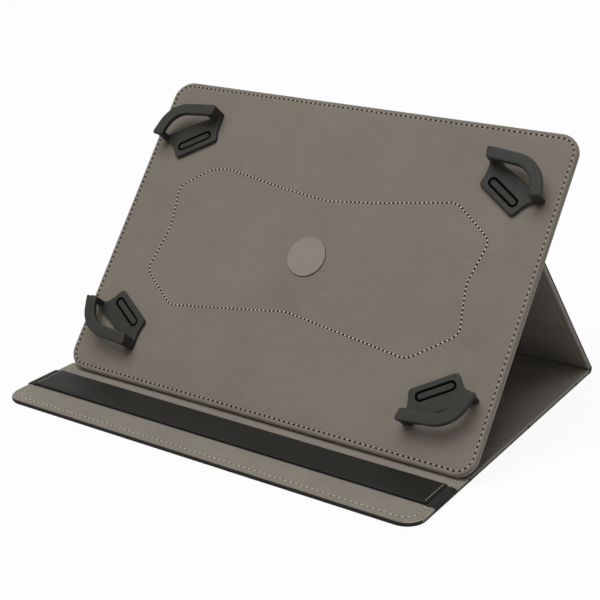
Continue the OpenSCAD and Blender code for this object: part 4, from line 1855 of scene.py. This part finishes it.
@dataclass(frozen=True)
class Studio:
    """Camera, lamps, world and floor. The camera is turned from looking down, in degrees about X, Y and Z."""

    camera_at: tuple[float, float, float] = (0.37931, -0.58661, 0.31698)
    camera_turn: tuple[float, float, float] = (69.33634, -0.07958, 33.09614)
    lens: float = 79.52
    sensor: float = 36
    clip: tuple[float, float] = (0.01, 20)
    lamps: tuple[Lamp, ...] = (
        Lamp("softbox_above", (-0.3, -1.5, 3.9), (0, 0, 0.05), 3.6, 144),
        Lamp("softbox_side", (1.5, -0.9, 0.35), (0, 0, 0.08), 0.8, 2.0),
        Lamp("softbox_back", (-0.5, 2.4, 1.3), (0, 0, 0.05), 1.2, 14),
    )
    ambient: float = 0.075
    floor_tone: float = 0.38
    floor_shown: float = 0.98
    floor_clear: float = 0.92
    floor_z: float = -0.2 * MM
    floor_half: float = 8

    def build(self) -> None:
        """Set the studio up."""
        self._camera()
        for lamp in self.lamps:
            lamp.build()
        self._world()
        self._floor()
        bpy.context.scene.view_settings.view_transform = "Standard"

    def _camera(self) -> None:
        """Place the camera."""
        data = bpy.data.cameras.new("camera")
        data.lens = self.lens
        data.sensor_width = self.sensor
        data.clip_start, data.clip_end = self.clip
        camera = bpy.data.objects.new("camera", data)
        turn = Euler([math.radians(a) for a in self.camera_turn]).to_matrix().to_4x4()
        camera.matrix_world = Matrix.Translation(self.camera_at) @ turn
        bpy.context.scene.collection.objects.link(camera)
        bpy.context.scene.camera = camera

    def _world(self) -> None:
        """Light evenly, and show white to the camera and in reflections."""
        world = bpy.data.worlds.new("studio")
        bpy.context.scene.world = world
        world.use_nodes = True
        g = Graph(world.node_tree)
        strength = g.rays("Camera", "Glossy", "Transmission") * (1 - self.ambient) + self.ambient
        background = g.node("ShaderNodeBackground", {}, {"Color": (1.0, 1.0, 1.0), "Strength": strength})
        g.node("ShaderNodeOutputWorld", {}, {0: background.outputs[0]})

    def _floor(self) -> None:
        """Lay the pale floor, through which a panel folded below it still shows."""
        g = MaterialGraph("pale_floor")
        tone = g.blend(g.rays("Camera"), (self.floor_tone,) * 3, (self.floor_shown,) * 3)
        g.paint(Base_Color=tone, Roughness=0.9, Specular_IOR_Level=0.0)
        clear = g.node("ShaderNodeBsdfTransparent", {}, {"Color": (1.0, 1.0, 1.0)})
        share = g.rays("Camera", "Glossy") * self.floor_clear + g.rays("Shadow")
        mixed = g.node("ShaderNodeMixShader", {}, {0: share, 1: g.shader.outputs[0], 2: clear.outputs[0]})
        g.feed(g.output.inputs[0], mixed.outputs[0])
        shape = Shape()
        bmesh.ops.create_grid(shape.bm, x_segments=1, y_segments=1, size=self.floor_half)
        floor = shape.piece("floor", Matrix.Translation((0, 0, self.floor_z)), [g.material])
        floor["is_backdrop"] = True


def measured(bounds: Any) -> Any:
    """Bounds as plain numbers in plain lists.

    Args:
        bounds: A number, or numbers in a nest of sequences.

    Returns:
        The same, as JSON can hold it.
    """
    if isinstance(bounds, (int, float)):
        return float(bounds)
    return [measured(b) for b in bounds]


def main() -> None:
    """Build the scene and measure the boxes before and after."""
    logging.basicConfig(level=logging.INFO, format="%(name)s: %(message)s")
    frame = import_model()
    solid_box = measured(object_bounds())
    sizes = Sizes()
    frames = Frames(sizes)
    finishes = Finishes()
    Studio().build()
    Cover(sizes, finishes).build()
    Stand(sizes, frames, finishes).build()
    Plate(sizes, frames, finishes).build()
    for corner in Corner:
        CornerClip(sizes, frames, finishes, corner).build()
    Strap(sizes, finishes).build()
    KeptSolids(frame["nodes"], finishes).build()
    {"solids": solid_box, "dressed": measured(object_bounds())}


if __name__ == "__main__":
    main()
